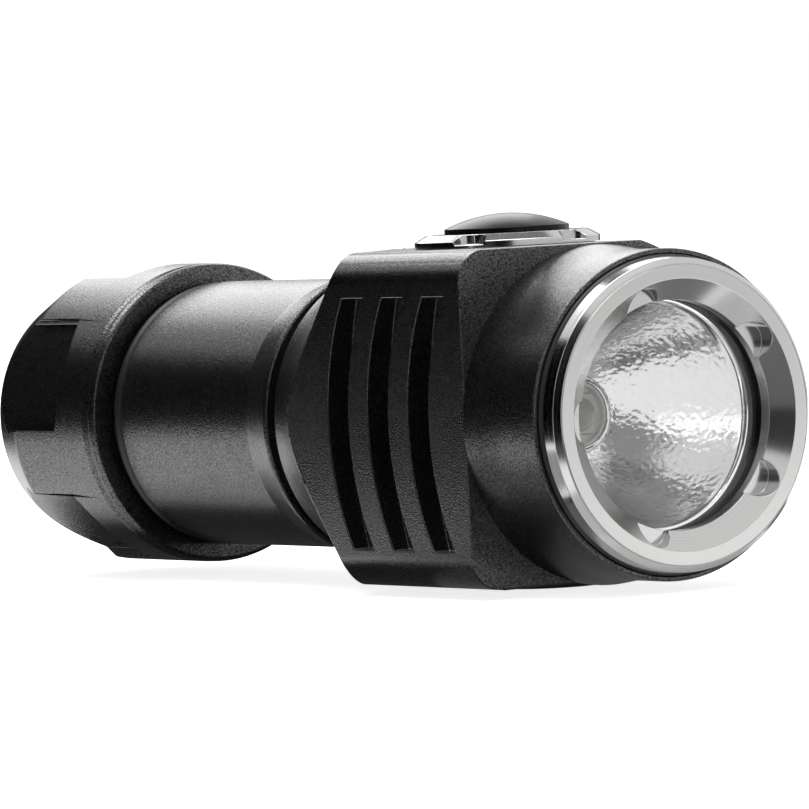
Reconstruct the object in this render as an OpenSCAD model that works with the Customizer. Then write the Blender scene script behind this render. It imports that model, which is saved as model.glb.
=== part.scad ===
// Pocket firefighter flashlight: a screw-on tail cap and a battery tube behind a square milled head,
// with a steel bezel, a side switch and a covered charging port.
// The lamp's axis is X, from the tail face at x = 0 to the bezel. The switch faces +Z. Millimetres.

/* [Tail cap] */
// Length of the tail cap
cap_len = 17.5; // [16:0.1:20]
// Diameter over the grip ridges
cap_d = 24; // [23.6:0.1:26]
// Diameter of the flat tail face
cap_end_d = 20.3; // [17:0.1:21.5]
// Length of the tapered end
cap_taper = 5.2; // [4:0.1:7]
// Thickness of the end wall
cap_wall = 2.5; // [2:0.1:3.5]
// Number of grip flats round the cap
grip_count = 5; // [3:1:6]
// Reach of a grip flat's floor to its steep side
grip_low = 4.4; // [3.5:0.1:4.6]
// Reach of a grip flat's floor to its sloped side
grip_high = 3.6; // [2.5:0.1:3.8]
// Depth of a grip flat under the ridges
grip_depth = 1.5; // [0.8:0.05:1.6]
// Length of the grip flats, from the tail face
grip_len = 12.4; // [10:0.1:13.5]
// Width of the round bead at the cap's rim
bead_w = 1.1; // [0.8:0.1:1.3]
// Width of the rim in front of the bead
rim_w = 0.9; // [0.7:0.1:1.1]
// Depth of the two lines that set off the bead
line_depth = 0.3; // [0.15:0.05:0.4]

/* [Battery tube] */
// Length of the barrel between its two shoulders
tube_len = 22.9; // [22:0.1:30]
// Outer diameter of the barrel
tube_d = 21; // [20.6:0.1:22]
// Bore of the barrel
tube_bore_d = 17.2; // [16.9:0.1:17.6]
// Diameter of the flared lip at the front
lip_d = 22.8; // [22:0.1:24]
// Length of the flare
flare_len = 4; // [2:0.1:6]
// Gap between the tail cap and the barrel, with the cap tight
tail_gap = 1.7; // [1.3:0.1:2.2]
// Gap between the barrel and the head
head_gap = 1.6; // [1.3:0.1:2.2]
// Crest diameter of the threads at both ends
thread_d = 19.4; // [19.1:0.1:19.6]
// Pitch of the threads
thread_pitch = 1; // [0.75:0.05:1.25]
// Depth of the threads
thread_depth = 0.35; // [0.2:0.05:0.45]
// Length of thread inside the tail cap
tail_thread_len = 6.5; // [5:0.1:7]
// Length of thread inside the head
head_thread_len = 4; // [3:0.1:4.6]
// Cord diameter of the two ring seals in the gaps
seal_d = 1.1; // [0.8:0.05:1.2]

/* [Cell and contacts] */
// Diameter of the cell
cell_d = 16.6; // [15.8:0.1:16.8]
// Length of the cell's can
cell_len = 33.5; // [31:0.1:35]
// Diameter of the positive terminal
terminal_d = 5.6; // [4:0.1:8]
// Height of the positive terminal
terminal_h = 1; // [0.7:0.1:1.5]
// Thickness of the insulating washer round the terminal
washer_t = 0.4; // [0.2:0.1:0.6]
// Thickness of the tail contact plate
plate_t = 1; // [0.6:0.1:1.6]
// Wire diameter of the tail spring
spring_wire = 0.8; // [0.6:0.05:0.9]
// Turns of the tail spring
spring_turns = 5; // [4:0.5:5]
// Coil diameter of the spring at the plate
spring_base_d = 14; // [11:0.1:15]
// Coil diameter of the spring at the cell
spring_tip_d = 7; // [5:0.1:9]

/* [Head] */
// Length of the square block, from the head's rear face to its shoulder
block_len = 27.5; // [27:0.1:34]
// Width across the flats of the block
block_w = 25; // [24.8:0.1:28]
// Height of the block's middle above the lamp's axis
block_lift = 0.25; // [0:0.05:0.4]
// Radius of the block's long edges
block_edge_r = 2.4; // [1:0.1:3]
// Diameter of the round that the block's two far edges are turned to
block_far_d = 26.8; // [26:0.1:30]
// Diameter of the head's rear face
head_rear_d = 23; // [22:0.1:24]
// Radius of the trumpet-shaped rear
trumpet_r = 22.5; // [18:0.5:30]
// Slope of the trumpet at the rear face, in degrees
trumpet_slope = 11.4; // [8:0.1:16]
// Diameter of the round nose
nose_d = 24.4; // [24.3:0.1:25]
// Length of the round nose
nose_len = 8.4; // [8:0.1:9.4]
// How far the nose widens to the shoulder
nose_flare = 0.45; // [0.1:0.05:0.6]
// Length of that widening
nose_flare_len = 3.3; // [2:0.1:3.6]
// Radius of the nose's front edge
nose_edge_r = 0.3; // [0.2:0.05:0.3]
// Bore of the electronics bay
bay_d = 17.2; // [16.6:0.1:17.6]
// Thickness of the wall that carries the lamp
shelf_t = 2.4; // [1.8:0.1:3]

/* [Cooling slots] */
// Slots on each side
slot_count = 3; // [1:1:3]
// First slot's rear edge, from the head's rear face
slot_start = 9.1; // [8.6:0.1:10.4]
// Spacing of the slots
slot_pitch = 5.4; // [4.5:0.1:5.6]
// Width of a slot along the lamp
slot_w = 2.75; // [1.5:0.05:3]
// Height of a slot
slot_h = 18.8; // [14:0.1:20]
// Radius of a slot's curve
slot_curve_r = 17.8; // [15:0.1:30]
// Depth of a slot in the middle
slot_depth = 2.2; // [1.8:0.1:2.4]
// Depth of a slot at its ends
slot_end_depth = 1.4; // [0.3:0.1:1.5]

/* [Bezel] */
// Height of the bezel's front above the nose
bezel_stand = 1.9; // [1.7:0.05:2.4]
// Outer diameter of the bezel
bezel_d = 23.4; // [23.2:0.1:23.6]
// Outer diameter at the front of the bezel's band
bezel_face_d = 23; // [22.6:0.1:23.2]
// Length of the bezel's outer band
bezel_band = 1.05; // [0.8:0.05:1.2]
// Length of the chamfer in front of the band
bezel_chamfer = 0.45; // [0.3:0.05:0.6]
// Outer diameter of the flat front
bezel_flat_d = 21.95; // [21.5:0.05:22.5]
// Inner diameter of the flat front
bezel_flat_id = 19.95; // [19.5:0.05:20.5]
// Inner diameter of the lip
bezel_lip_id = 16.9; // [16.4:0.1:17.4]
// Depth of the inner bevel
bezel_bevel = 1.2; // [0.8:0.05:1.4]
// Depth of the lip's rear face under the front
bezel_lip_depth = 2.25; // [1.9:0.05:2.5]
// Diameter of the bezel's threaded skirt
skirt_d = 21.8; // [21.4:0.1:22]
// Length of the skirt behind the lip
skirt_len = 3.7; // [3.2:0.1:4.2]
// Wall of the skirt
skirt_wall = 0.95; // [0.8:0.05:1]
// Number of wrench scallops
scallop_count = 5; // [3:1:8]
// Diameter of a scallop
scallop_d = 2.9; // [2:0.1:2.95]
// Depth of the scallops under the bevel's inner edge
scallop_step = 0.3; // [0.15:0.05:0.6]
// Cord diameter of the bezel's seal
bezel_seal_d = 0.85; // [0.7:0.05:0.9]
// How far the seal stands out past the bezel
seal_show = 0.1; // [0.05:0.05:0.15]

/* [Lamp] */
// Thickness of the glass
lens_t = 1.2; // [0.8:0.1:1.6]
// Thickness of the gasket behind the glass
gasket_t = 0.9; // [0.6:0.1:1.2]
// Wall of the gasket round the glass
gasket_wall = 0.35; // [0.25:0.05:0.5]
// Inner diameter of the gasket
gasket_id = 17; // [16.6:0.1:17.4]
// Height of the reflector
reflector_h = 10.1; // [9:0.1:10.6]
// Diameter of the reflector's mouth
reflector_d = 16.5; // [16:0.1:17.6]
// Diameter of the reflector's lamp hole
reflector_hole_d = 5; // [4.8:0.1:5.6]
// Wall of the reflector
reflector_wall = 0.9; // [0.6:0.1:1.1]
// Thickness of the reflector's flange
flange_t = 0.8; // [0.6:0.1:1.2]
// How far the reflector's foot overhangs the collar
foot_over = 0.2; // [0.1:0.05:0.3]
// Room over the lamp board for its wires and screws
pocket_room = 1; // [1:0.1:1.6]
// Thickness of the white collar under the reflector
collar_t = 0.5; // [0.4:0.1:0.8]
// Diameter of the collar's foot
collar_d = 8.8; // [7:0.1:9.2]
// Height of the collar's rim inside the lamp hole
collar_rim = 0.4; // [0.2:0.1:0.6]
// Diameter of the lamp board
led_board_d = 16; // [15:0.1:16.4]
// Thickness of the lamp board
led_board_t = 1.6; // [1:0.1:2]
// Width of the lamp's square base
led_w = 3; // [2.4:0.1:3.2]
// Height of the lamp's base
led_h = 0.7; // [0.5:0.05:0.9]
// Diameter of the lamp's dome
led_dome_d = 2.6; // [1.8:0.1:2.6]
// Distance of the lamp's wires from the axis
led_wire_off = 6.3; // [6:0.1:6.6]
// Distance of the lamp board's screws from the axis
led_screw_off = 6.2; // [6:0.1:6.4]

/* [Driver] */
// Thickness of the driver's retaining ring
driver_ring_t = 1.6; // [1.2:0.1:2]
// Bore of the retaining ring
driver_ring_id = 13; // [11:0.1:14]
// Width of the retaining ring's wrench slots
driver_slot_w = 1.5; // [1:0.1:2]
// Thickness of the driver board
driver_t = 1.2; // [0.8:0.1:1.6]
// Length of the positive contact post
post_len = 3; // [2:0.1:4]
// Diameter of the post
post_d = 4.8; // [3:0.1:6]
// Width of the inductor
inductor_w = 5; // [4:0.1:5.4]
// Height of the inductor's centre over the lamp's axis
inductor_z = 1.25; // [1.2:0.05:1.5]
// Height of the inductor
inductor_h = 3; // [2:0.1:4]
// Width of a driver chip
chip_w = 3; // [2:0.1:3.4]
// Height of a driver chip
chip_h = 1; // [0.6:0.1:1.4]
// Room between the driver chips and the charging board
chip_room = 0.9; // [0.5:0.1:1.2]

/* [Switch] */
// Centre of the switch, behind the wall that carries the lamp
switch_back = 2.95; // [2.5:0.05:3.3]
// Outer diameter of the switch ring
ring_d = 14; // [13.4:0.1:15]
// Height of the ring above the flat
ring_h = 1; // [0.75:0.05:1.3]
// Height of the ring's upright wall
ring_wall_h = 0.5; // [0.2:0.05:0.6]
// Diameter of the ring's flat top
ring_top_d = 12.2; // [11.4:0.1:12.8]
// Diameter of the ring's threaded skirt
ring_skirt_d = 11.8; // [11.6:0.1:12]
// Wall of the ring's skirt
ring_skirt_wall = 0.5; // [0.4:0.05:0.6]
// Depth of the ring's skirt under the flat
ring_skirt_h = 1.75; // [1.5:0.05:2.1]
// Thickness of the ring's inner lip
ring_lip_t = 0.8; // [0.5:0.05:0.9]
// Number of scallops in the ring
ring_scallops = 5; // [3:1:8]
// Diameter of a ring scallop
ring_scallop_d = 2.6; // [1.6:0.1:3]
// Floor of the ring's scallops above the flat
ring_scallop_floor = 0.25; // [0.1:0.05:0.5]
// Turn of the first ring scallop from +X, in degrees
ring_turn = 12.9; // [0:0.1:72]
// Diameter of the button
button_d = 9.4; // [8:0.1:9.8]
// Height of the button's edge above the ring
button_edge_h = 0.4; // [0.2:0.05:0.6]
// Height of the button's dome
button_dome_h = 1.05; // [0.6:0.05:1.4]
// Overhang of the button's captive flange
button_flange = 0.55; // [0.35:0.05:0.6]
// Thickness of the flange
button_flange_t = 0.7; // [0.5:0.05:0.9]
// Travel of the button
button_travel = 0.6; // [0.3:0.05:0.7]
// Thickness of the boot's clamped rim
boot_t = 0.8; // [0.6:0.05:1]
// Diameter of the boot's dome
boot_dome_d = 6.8; // [6:0.1:7.4]
// Height of the boot's dome over its rim
boot_dome_h = 0.6; // [0.4:0.05:0.7]
// Thickness of the boot's dome
boot_wall = 0.5; // [0.4:0.05:0.6]
// Width of the click switch
click_w = 4.5; // [4:0.1:4.7]
// Height of the click switch
click_h = 2; // [1.6:0.05:2.2]
// Diameter of the click switch's plunger
plunger_d = 2.4; // [1.6:0.1:2.8]
// Thickness of the ledge that the boot sits on
ledge_t = 2.4; // [2.2:0.05:2.8]
// Length of the switch board
switch_board_len = 7.6; // [7:0.1:9]
// Width of the switch board
switch_board_w = 10; // [8.6:0.1:10.4]
// Thickness of the switch board
switch_board_t = 1.2; // [0.8:0.1:1.4]

/* [Charging port] */
// Width of the cover
cover_w = 9; // [8:0.1:10]
// Thickness of the cover's pad
cover_t = 0.6; // [0.5:0.05:0.9]
// Chamfer of the cover's edge
cover_chamfer = 0.35; // [0.1:0.05:0.4]
// Length of the cover behind the port's centre
cover_tail = 7; // [6.2:0.1:7.2]
// Hinge of the cover, in front of the port's centre
hinge_off = 6.4; // [6.2:0.1:6.8]
// Length of the plug under the cover
plug_len = 10.8; // [10:0.1:11]
// Width of the plug
plug_w = 6.2; // [5:0.1:6.6]
// Height of the plug
plug_h = 1.3; // [0.8:0.1:1.4]
// Depth of the recess that takes the plug
recess_depth = 1.6; // [1.5:0.05:2]
// Room round the plug in its recess
recess_room = 0.4; // [0.35:0.05:0.5]
// Diameter of the anchor's post
anchor_post_d = 2.4; // [1.6:0.1:3]
// Length of the anchor's post
anchor_post_len = 2.6; // [1.5:0.1:3]
// Length of the socket's shell, along the lamp
socket_len = 8.9; // [8:0.1:9.2]
// Width of the socket's shell
socket_w = 3.3; // [3:0.1:3.6]
// Height of the socket's shell
socket_h = 5.4; // [4.8:0.1:5.8]
// Wall of the socket's shell
socket_wall = 0.3; // [0.2:0.05:0.4]
// Thickness of the socket's tongue
tongue_t = 0.7; // [0.5:0.1:0.9]
// Room between the charging board and the ends of the bay
port_board_room = 0.6; // [0.3:0.1:1.2]
// Width of the charging board
port_board_w = 11; // [9:0.1:11.4]
// Thickness of the charging board
port_board_t = 1; // [0.8:0.1:1.4]

/* [Screws, wires and fits] */
// Shank diameter of the small screws
screw_d = 1.4; // [1:0.1:1.6]
// Head diameter of the small screws
screw_head_d = 2.3; // [1.8:0.1:2.4]
// Head height of the small screws
screw_head_h = 0.8; // [0.5:0.1:1]
// Length of the small screws under the head
screw_len = 2.8; // [2.2:0.1:3]
// Outer diameter of the wires
wire_d = 0.9; // [0.6:0.1:1]
// Radial clearance of pieces that turn or slide
run_fit = 0.08; // [0.05:0.01:0.1]
// Radial clearance of fixed pieces in their seats
seat_fit = 0.05; // [0.03:0.01:0.08]
// Gap between faces that meet only in use
face_gap = 0.1; // [0.05:0.01:0.15]
// Edge break of turned corners
edge = 0.25; // [0.15:0.05:0.3]

/* [Hidden] */
$fn = 96;
over = 1;
wire_sides = 8;
wire_steps = 12;
wire_bend = 0.6;
spring_sides = 6;
thread_flank = 0.3;
thread_flat = 0.2;
spring_rings = 8;
curve_steps = 24;

// Stations along the lamp, from the tail
x_tube = cap_len + tail_gap;
x_lip = x_tube + tube_len;
x_head = x_lip + head_gap;
x_shoulder = x_head + block_len;
x_nose = x_shoulder + nose_len;
x_front = x_nose + bezel_stand;
x_tube_tail = cap_len - tail_thread_len;
x_tube_end = x_head + head_thread_len;
x_driver = x_tube_end + driver_ring_t;
x_bay = x_driver + driver_t;
x_post = x_driver - post_len;
x_cell_front = x_post - face_gap - terminal_h;
x_cell_rear = x_cell_front - cell_len;
x_plate = cap_wall + plate_t;
x_lens = x_front - bezel_lip_depth - lens_t;
x_mouth = x_lens - gasket_t;
x_hole = x_mouth - reflector_h;
x_led = x_hole - collar_t;
x_shelf = x_led - led_board_t;
x_bay_end = x_shelf - shelf_t;
x_pocket = x_led + pocket_room;
x_skirt = x_front - bezel_lip_depth - skirt_len;
x_band = x_front - bezel_chamfer - bezel_band;
x_switch = x_bay_end - switch_back;
x_port = (x_bay + x_bay_end) / 2;
x_hinge = x_port + hinge_off;
x_anchor = x_hinge + cover_t / 2 + face_gap;

// Radii about the lamp's axis
thread_r = thread_d / 2;
root_r = thread_r - thread_depth;
bore_r = thread_r + run_fit;
plate_r = bore_r - run_fit;
skirt_r = skirt_d / 2;
cup_r = skirt_r - skirt_wall;
gasket_r = cup_r - seat_fit;
lens_r = gasket_r - gasket_wall - seat_fit;
hole_r = reflector_hole_d / 2;
mouth_r = reflector_d / 2;
focal = (mouth_r * mouth_r - hole_r * hole_r) / (4 * reflector_h);
reflector_foot = collar_d / 2 + foot_over;
seal_seat_r = bezel_d / 2 + seal_show;
flat = block_w / 2;
top_flat = flat + block_lift;
bottom_flat = flat - block_lift;

// Heights above and below the lamp's axis
z_ring = top_flat + ring_h;
z_skirt = top_flat - ring_skirt_h;
z_ledge = z_skirt - boot_t;
z_ceiling = z_ledge - ledge_t;
z_lip = z_ring - ring_lip_t;
z_button_edge = z_ring + button_edge_h;
z_flange = z_lip - face_gap - button_flange_t;
z_click = z_ceiling + click_h;
z_boot_top = z_skirt + boot_dome_h;
z_plunger_top = z_boot_top - boot_wall - face_gap;
z_recess = -bottom_flat + recess_depth;
z_socket = z_recess + face_gap;
z_port_board = z_socket + socket_h;
z_chips = z_port_board + port_board_t + chip_room;
z_pad = -bottom_flat - face_gap;
z_hinge = z_pad - cover_t / 2;

// A solid turned about the lamp's axis, from points of radius and station
module turned(points) {
    rotate([90, 0, 90]) rotate_extrude() polygon(points);
}

// A round bar along the lamp, from one station to another
module bar(x0, x1, r) {
    translate([x0, 0, 0]) rotate([0, 90, 0]) cylinder(h = x1 - x0, r = r);
}

module pipe(x0, x1, r_out, r_in) {
    difference() {
        bar(x0, x1, r_out);
        bar(x0 - over, x1 + over, r_in);
    }
}

// A ring of round section, lying against a face on its front side
module ring_seal(x_face, r_inner, cord_d) {
    translate([x_face - cord_d / 2, 0, 0])
        rotate([0, 90, 0])
            rotate_extrude() translate([r_inner + cord_d / 2, 0]) circle(d = cord_d);
}

// An upright block given by its centre, its sizes and the height of its underside
module block(x, y, z, sizes) {
    translate([x - sizes.x / 2, y - sizes.y / 2, z]) cube(sizes);
}

// Points of ring-shaped thread crests between two stations
function crests(x0, x1) = [
    for (i = [0 : floor((x1 - x0) / thread_pitch) - 1])
        each [
            [root_r, x0 + i * thread_pitch],
            [thread_r, x0 + (i + thread_flank) * thread_pitch],
            [thread_r, x0 + (i + thread_flank + thread_flat) * thread_pitch],
            [root_r, x0 + (i + 2 * thread_flank + thread_flat) * thread_pitch]
        ]
];

function bezier(p, t) =
    pow(1 - t, 3) * p[0] + 3 * t * pow(1 - t, 2) * p[1] + 3 * t * t * (1 - t) * p[2] + pow(t, 3) * p[3];

function unit(v) = v / norm(v);

// Direction of a path at one of its points
function heading(path, i) = unit(path[min(i + 1, len(path) - 1)] - path[max(i - 1, 0)]);

// A round tube swept along a path that is never parallel to the side vector
module tube_along(path, d, sides, side) {
    last = len(path) - 1;
    rings = [
        for (i = [0 : last])
            let (t = heading(path, i), u = unit(cross(t, side)), v = cross(u, t))
                for (k = [0 : sides - 1])
                    let (a = 360 * k / sides)
                        path[i] + d / 2 * (cos(a) * u + sin(a) * v)
    ];
    walls = [
        for (i = [0 : last - 1], k = [0 : sides - 1])
            let (a = i * sides + k, b = i * sides + (k + 1) % sides)
                each [[a, a + sides, b], [b, a + sides, b + sides]]
    ];
    ends = [
        for (k = [1 : sides - 2])
            each [[0, k, k + 1], [last * sides, last * sides + k + 1, last * sides + k]]
    ];
    polyhedron(points = rings, faces = concat(walls, ends));
}

// A wire that leaves a face along one axis and arrives along another
module wire(p0, p1, p2, p3, side) {
    path = [for (i = [0 : wire_steps]) bezier([p0, p1, p2, p3], i / wire_steps)];
    tube_along(path, wire_d, wire_sides, side);
}

module small_screw() {
    cylinder(h = screw_head_h, d = screw_head_d);
    translate([0, 0, -screw_len]) cylinder(h = screw_len, d = screw_d);
}

// Tail

// A flat with one steep side, one sloped side and a sloped front end, cut through to the tail face
module grip_flat() {
    floor_r = cap_d / 2 - grip_depth;
    rise = grip_depth + over;
    intersection() {
        translate([-over, 0, 0])
            rotate([90, 0, 90])
                linear_extrude(grip_len + 2 * over)
                    polygon([
                        [-grip_low, floor_r],
                        [grip_high, floor_r],
                        [grip_high + rise, floor_r + rise],
                        [-grip_low, floor_r + rise]
                    ]);
        rotate([90, 0, 0])
            linear_extrude(cap_d, center = true)
                polygon([
                    [-over, floor_r],
                    [grip_len - grip_depth, floor_r],
                    [grip_len + over, floor_r + rise],
                    [-over, floor_r + rise]
                ]);
    }
}

module tail_cap() {
    r = cap_d / 2;
    x_bead = cap_len - rim_w - bead_w / 2;
    x_line = x_bead - bead_w / 2;
    color([0.09, 0.09, 0.09])
        difference() {
            union() {
                turned([
                    [0, 0],
                    [cap_end_d / 2 - edge, 0],
                    [cap_end_d / 2, edge],
                    [r - edge, cap_taper - edge],
                    [r, cap_taper + edge],
                    [r, x_line - line_depth],
                    [r - line_depth, x_line],
                    [r - line_depth, cap_len - rim_w],
                    [r - edge, cap_len - rim_w + edge],
                    [r - rim_w / 2, cap_len],
                    [0, cap_len]
                ]);
                translate([x_bead, 0, 0])
                    rotate([0, 90, 0])
                        rotate_extrude() translate([r - bead_w / 2, 0]) circle(d = bead_w);
            }
            bar(cap_wall, cap_len + over, bore_r);
            for (i = [0 : grip_count - 1])
                rotate([360 * i / grip_count, 0, 0]) grip_flat();
        }
}

module tail_plate() {
    color([0.80, 0.66, 0.35]) bar(cap_wall, x_plate, plate_r);
}

// The spring starts and ends with a closed turn, so that it stands square on the plate
spring_path = [
    for (i = [0 : spring_turns * spring_rings])
        let (
            t = i / (spring_turns * spring_rings),
            a = 360 * i / spring_rings,
            r = (spring_base_d + (spring_tip_d - spring_base_d) * t - spring_wire) / 2,
            x0 = x_plate + spring_wire / 2 + face_gap / 2,
            x1 = x_cell_rear - spring_wire / 2 - face_gap
        )
            [x0 + (x1 - x0) * t, r * cos(a), r * sin(a)]
];

// Least distance between spring points half a turn or more apart, less the wire
spring_gap = min([
    for (i = [0 : len(spring_path) - 1], j = [i + spring_rings / 2 : 1 : len(spring_path) - 1])
        norm(spring_path[i] - spring_path[j])
]) - spring_wire;

module tail_spring() {
    echo(tail_spring_least_gap = spring_gap);
    color([0.78, 0.78, 0.80]) tube_along(spring_path, spring_wire, spring_sides, [1, 0, 0]);
}

module tail_seal() {
    color([0.05, 0.05, 0.05]) ring_seal(x_tube, root_r, seal_d);
}

// Barrel

module battery_tube() {
    r = tube_d / 2;
    color([0.09, 0.09, 0.09])
        turned(concat(
            [[tube_bore_d / 2, x_tube_tail], [root_r, x_tube_tail]],
            crests(x_tube_tail + edge, cap_len - edge),
            [
                [root_r, x_tube],
                [r - edge, x_tube],
                [r, x_tube + edge],
                [r, x_lip - flare_len],
                [lip_d / 2, x_lip - edge],
                [lip_d / 2 - edge, x_lip],
                [root_r, x_lip]
            ],
            crests(x_head, x_tube_end - edge),
            [[root_r, x_tube_end], [tube_bore_d / 2, x_tube_end]]
        ));
}

module head_seal() {
    color([0.05, 0.05, 0.05]) ring_seal(x_head, root_r, seal_d);
}

module cell_can() {
    color([0.15, 0.28, 0.50]) bar(x_cell_rear, x_cell_front, cell_d / 2);
}

module cell_terminal() {
    color([0.80, 0.80, 0.80]) bar(x_cell_front, x_cell_front + terminal_h, terminal_d / 2);
}

module cell_washer() {
    color([0.92, 0.92, 0.90])
        pipe(x_cell_front, x_cell_front + washer_t, cell_d / 2 - edge, terminal_d / 2 + seat_fit);
}

// Head

// Square bar with round long edges, between two stations
module rounded_bar(x0, x1) {
    inner = block_w - 2 * block_edge_r;
    length = x1 - x0;
    translate([x0, 0, block_lift]) {
        translate([0, -flat, -inner / 2]) cube([length, block_w, inner]);
        translate([0, -inner / 2, -flat]) cube([length, inner, block_w]);
        for (y = [-1, 1], z = [-1, 1])
            translate([0, y * inner / 2, z * inner / 2])
                rotate([0, 90, 0]) cylinder(h = length, r = block_edge_r);
    }
}

// The near half of the head left whole, and its far half turned round
module far_round() {
    bar(x_head, x_shoulder, block_far_d / 2);
    translate([x_head, -block_w, -block_w]) cube([block_len, block_w, 2 * block_w]);
}

// The turned outline of the head's rear, wider than the block's edges where the flats shape it
module head_outline() {
    rear_r = head_rear_d / 2;
    wide = block_w;
    rotate([90, 0, 90])
        rotate_extrude()
            difference() {
                polygon([
                    [0, x_head],
                    [rear_r - edge, x_head],
                    [wide, x_head + wide - rear_r + edge],
                    [wide, x_shoulder],
                    [0, x_shoulder]
                ]);
                translate([
                    rear_r + trumpet_r * cos(trumpet_slope),
                    x_head - trumpet_r * sin(trumpet_slope)
                ])
                    circle(r = trumpet_r);
            }
}

// The round nose, which widens to the shoulder and has a root inside the block
module nose() {
    nose_r = nose_d / 2;
    root = flat - over;
    rotate([90, 0, 90])
        rotate_extrude() {
            polygon([
                [0, x_shoulder - over],
                [root, x_shoulder - over],
                [root, x_shoulder],
                [nose_r + nose_flare, x_shoulder],
                [nose_r, x_shoulder + nose_flare_len],
                [nose_r, x_nose - nose_edge_r],
                [nose_r - nose_edge_r, x_nose],
                [0, x_nose]
            ]);
            translate([nose_r - nose_edge_r, x_nose - nose_edge_r]) circle(r = nose_edge_r);
        }
}

// One curved slot in the side that faces -Y, with a floor that rises to its ends
module cooling_slot(x) {
    drop = slot_depth - slot_end_depth;
    floor_r = (slot_h * slot_h / 4 + drop * drop) / (2 * drop);
    intersection() {
        difference() {
            translate([x + slot_curve_r, 0, 0])
                rotate([90, 0, 0]) cylinder(h = block_w, r = slot_curve_r);
            translate([x + slot_w + slot_curve_r, over, 0])
                rotate([90, 0, 0]) cylinder(h = block_w + 2 * over, r = slot_curve_r);
        }
        translate([x - over, -block_w, -slot_h / 2])
            cube([slot_curve_r, block_w, slot_h]);
        translate([x - over, -flat + slot_depth - floor_r, 0])
            rotate([0, 90, 0]) cylinder(h = slot_curve_r, r = floor_r);
    }
}

// The bores along the lamp, from the barrel's thread to the bezel's
module head_bores() {
    bar(x_head - over, x_bay, bore_r);
    bar(x_bay - over, x_bay_end, bay_d / 2);
    bar(x_shelf, x_pocket + over, led_board_d / 2 + seat_fit);
    bar(x_pocket, x_skirt, gasket_r);
    bar(x_skirt - face_gap, x_nose + over, skirt_r + run_fit);
    bar(x_band - bezel_seal_d, x_nose + over, seal_seat_r + seat_fit);
    for (y = [-1, 1])
        translate([0, y * led_wire_off, 0]) bar(x_bay_end - over, x_shelf + over, wire_d / 2 + seat_fit);
    for (z = [-1, 1])
        translate([0, 0, z * led_screw_off])
            bar(x_led - screw_len - seat_fit, x_shelf + over, screw_d / 2 + seat_fit);
}

// The switch's stepped hole in the top flat, and the flat ceiling that its board sits on
module switch_hole() {
    x_back = x_bay_end - switch_board_len - face_gap;
    translate([x_switch, 0, z_ledge])
        cylinder(h = top_flat, d = ring_skirt_d + 2 * seat_fit);
    translate([x_switch, 0, 0])
        cylinder(h = z_ledge + over, d = click_w * sqrt(2) + 2 * seat_fit);
    translate([x_back, -switch_board_w / 2 - seat_fit, 0])
        cube([x_bay_end - x_back, switch_board_w + 2 * seat_fit, z_ceiling]);
    for (y = [-1, 1])
        translate([switch_screw_x(), y * switch_screw_y(), z_ceiling - over])
            cylinder(h = over + screw_len - switch_board_t + seat_fit, d = screw_d + 2 * seat_fit);
}

function switch_screw_x() = x_bay_end - switch_board_len + screw_head_d / 2;
function switch_screw_y() = switch_board_w / 2 - screw_head_d / 2;

// The port's recess and through slot in the bottom flat, and the anchor's hole
module port_hole() {
    room = 2 * recess_room;
    translate([x_port, 0, -bottom_flat - over])
        linear_extrude(recess_depth + over) pill(plug_len + room, plug_w + room);
    block(x_port, 0, -bottom_flat, [socket_len + 2 * seat_fit, socket_w + 2 * seat_fit, bottom_flat]);
    translate([anchor_post_x(), 0, -bottom_flat - over])
        cylinder(h = anchor_post_len + over + seat_fit, d = anchor_post_d + 2 * seat_fit);
}

// A flat shape with round ends, lying along X about its centre
module pill(length, width) {
    square([length - width, width], center = true);
    for (x = [-1, 1])
        translate([x * (length - width) / 2, 0]) circle(d = width);
}

module head_body() {
    color([0.09, 0.09, 0.09])
        difference() {
            union() {
                intersection() {
                    rounded_bar(x_head, x_shoulder);
                    head_outline();
                    far_round();
                }
                nose();
            }
            head_bores();
            switch_hole();
            port_hole();
            for (i = [0 : slot_count - 1], side = [0, 1])
                mirror([0, side, 0]) cooling_slot(x_head + slot_start + i * slot_pitch);
        }
}

module bezel_ring() {
    lip_r = bezel_lip_id / 2;
    x_bevel = x_front - bezel_bevel;
    color([0.80, 0.80, 0.80])
        difference() {
            turned([
                [lip_r, x_bevel],
                [lip_r, x_front - bezel_lip_depth],
                [cup_r, x_front - bezel_lip_depth],
                [cup_r, x_skirt],
                [skirt_r, x_skirt],
                [skirt_r, x_band],
                [bezel_d / 2, x_band],
                [bezel_face_d / 2, x_band + bezel_band],
                [bezel_flat_d / 2, x_front],
                [bezel_flat_id / 2, x_front]
            ]);
            for (i = [0 : scallop_count - 1])
                rotate([180 + 360 * i / scallop_count, 0, 0])
                    translate([0, lip_r, 0])
                        bar(x_bevel - scallop_step, x_front + over, scallop_d / 2);
        }
}

module bezel_seal() {
    color([0.05, 0.05, 0.05]) ring_seal(x_band, seal_seat_r - bezel_seal_d, bezel_seal_d);
}

// Lamp

module lens() {
    color([0.85, 0.93, 0.95, 0.35]) bar(x_lens, x_lens + lens_t, lens_r);
}

module lens_gasket() {
    color([0.04, 0.04, 0.04])
        difference() {
            bar(x_mouth, x_lens + lens_t, gasket_r);
            bar(x_lens, x_lens + lens_t + over, lens_r + seat_fit);
            bar(x_mouth - over, x_lens + over, gasket_id / 2);
        }
}

// Radius of the reflector's parabola at a height over its lamp hole
function bowl(h) = sqrt(4 * focal * h + hole_r * hole_r);

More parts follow.
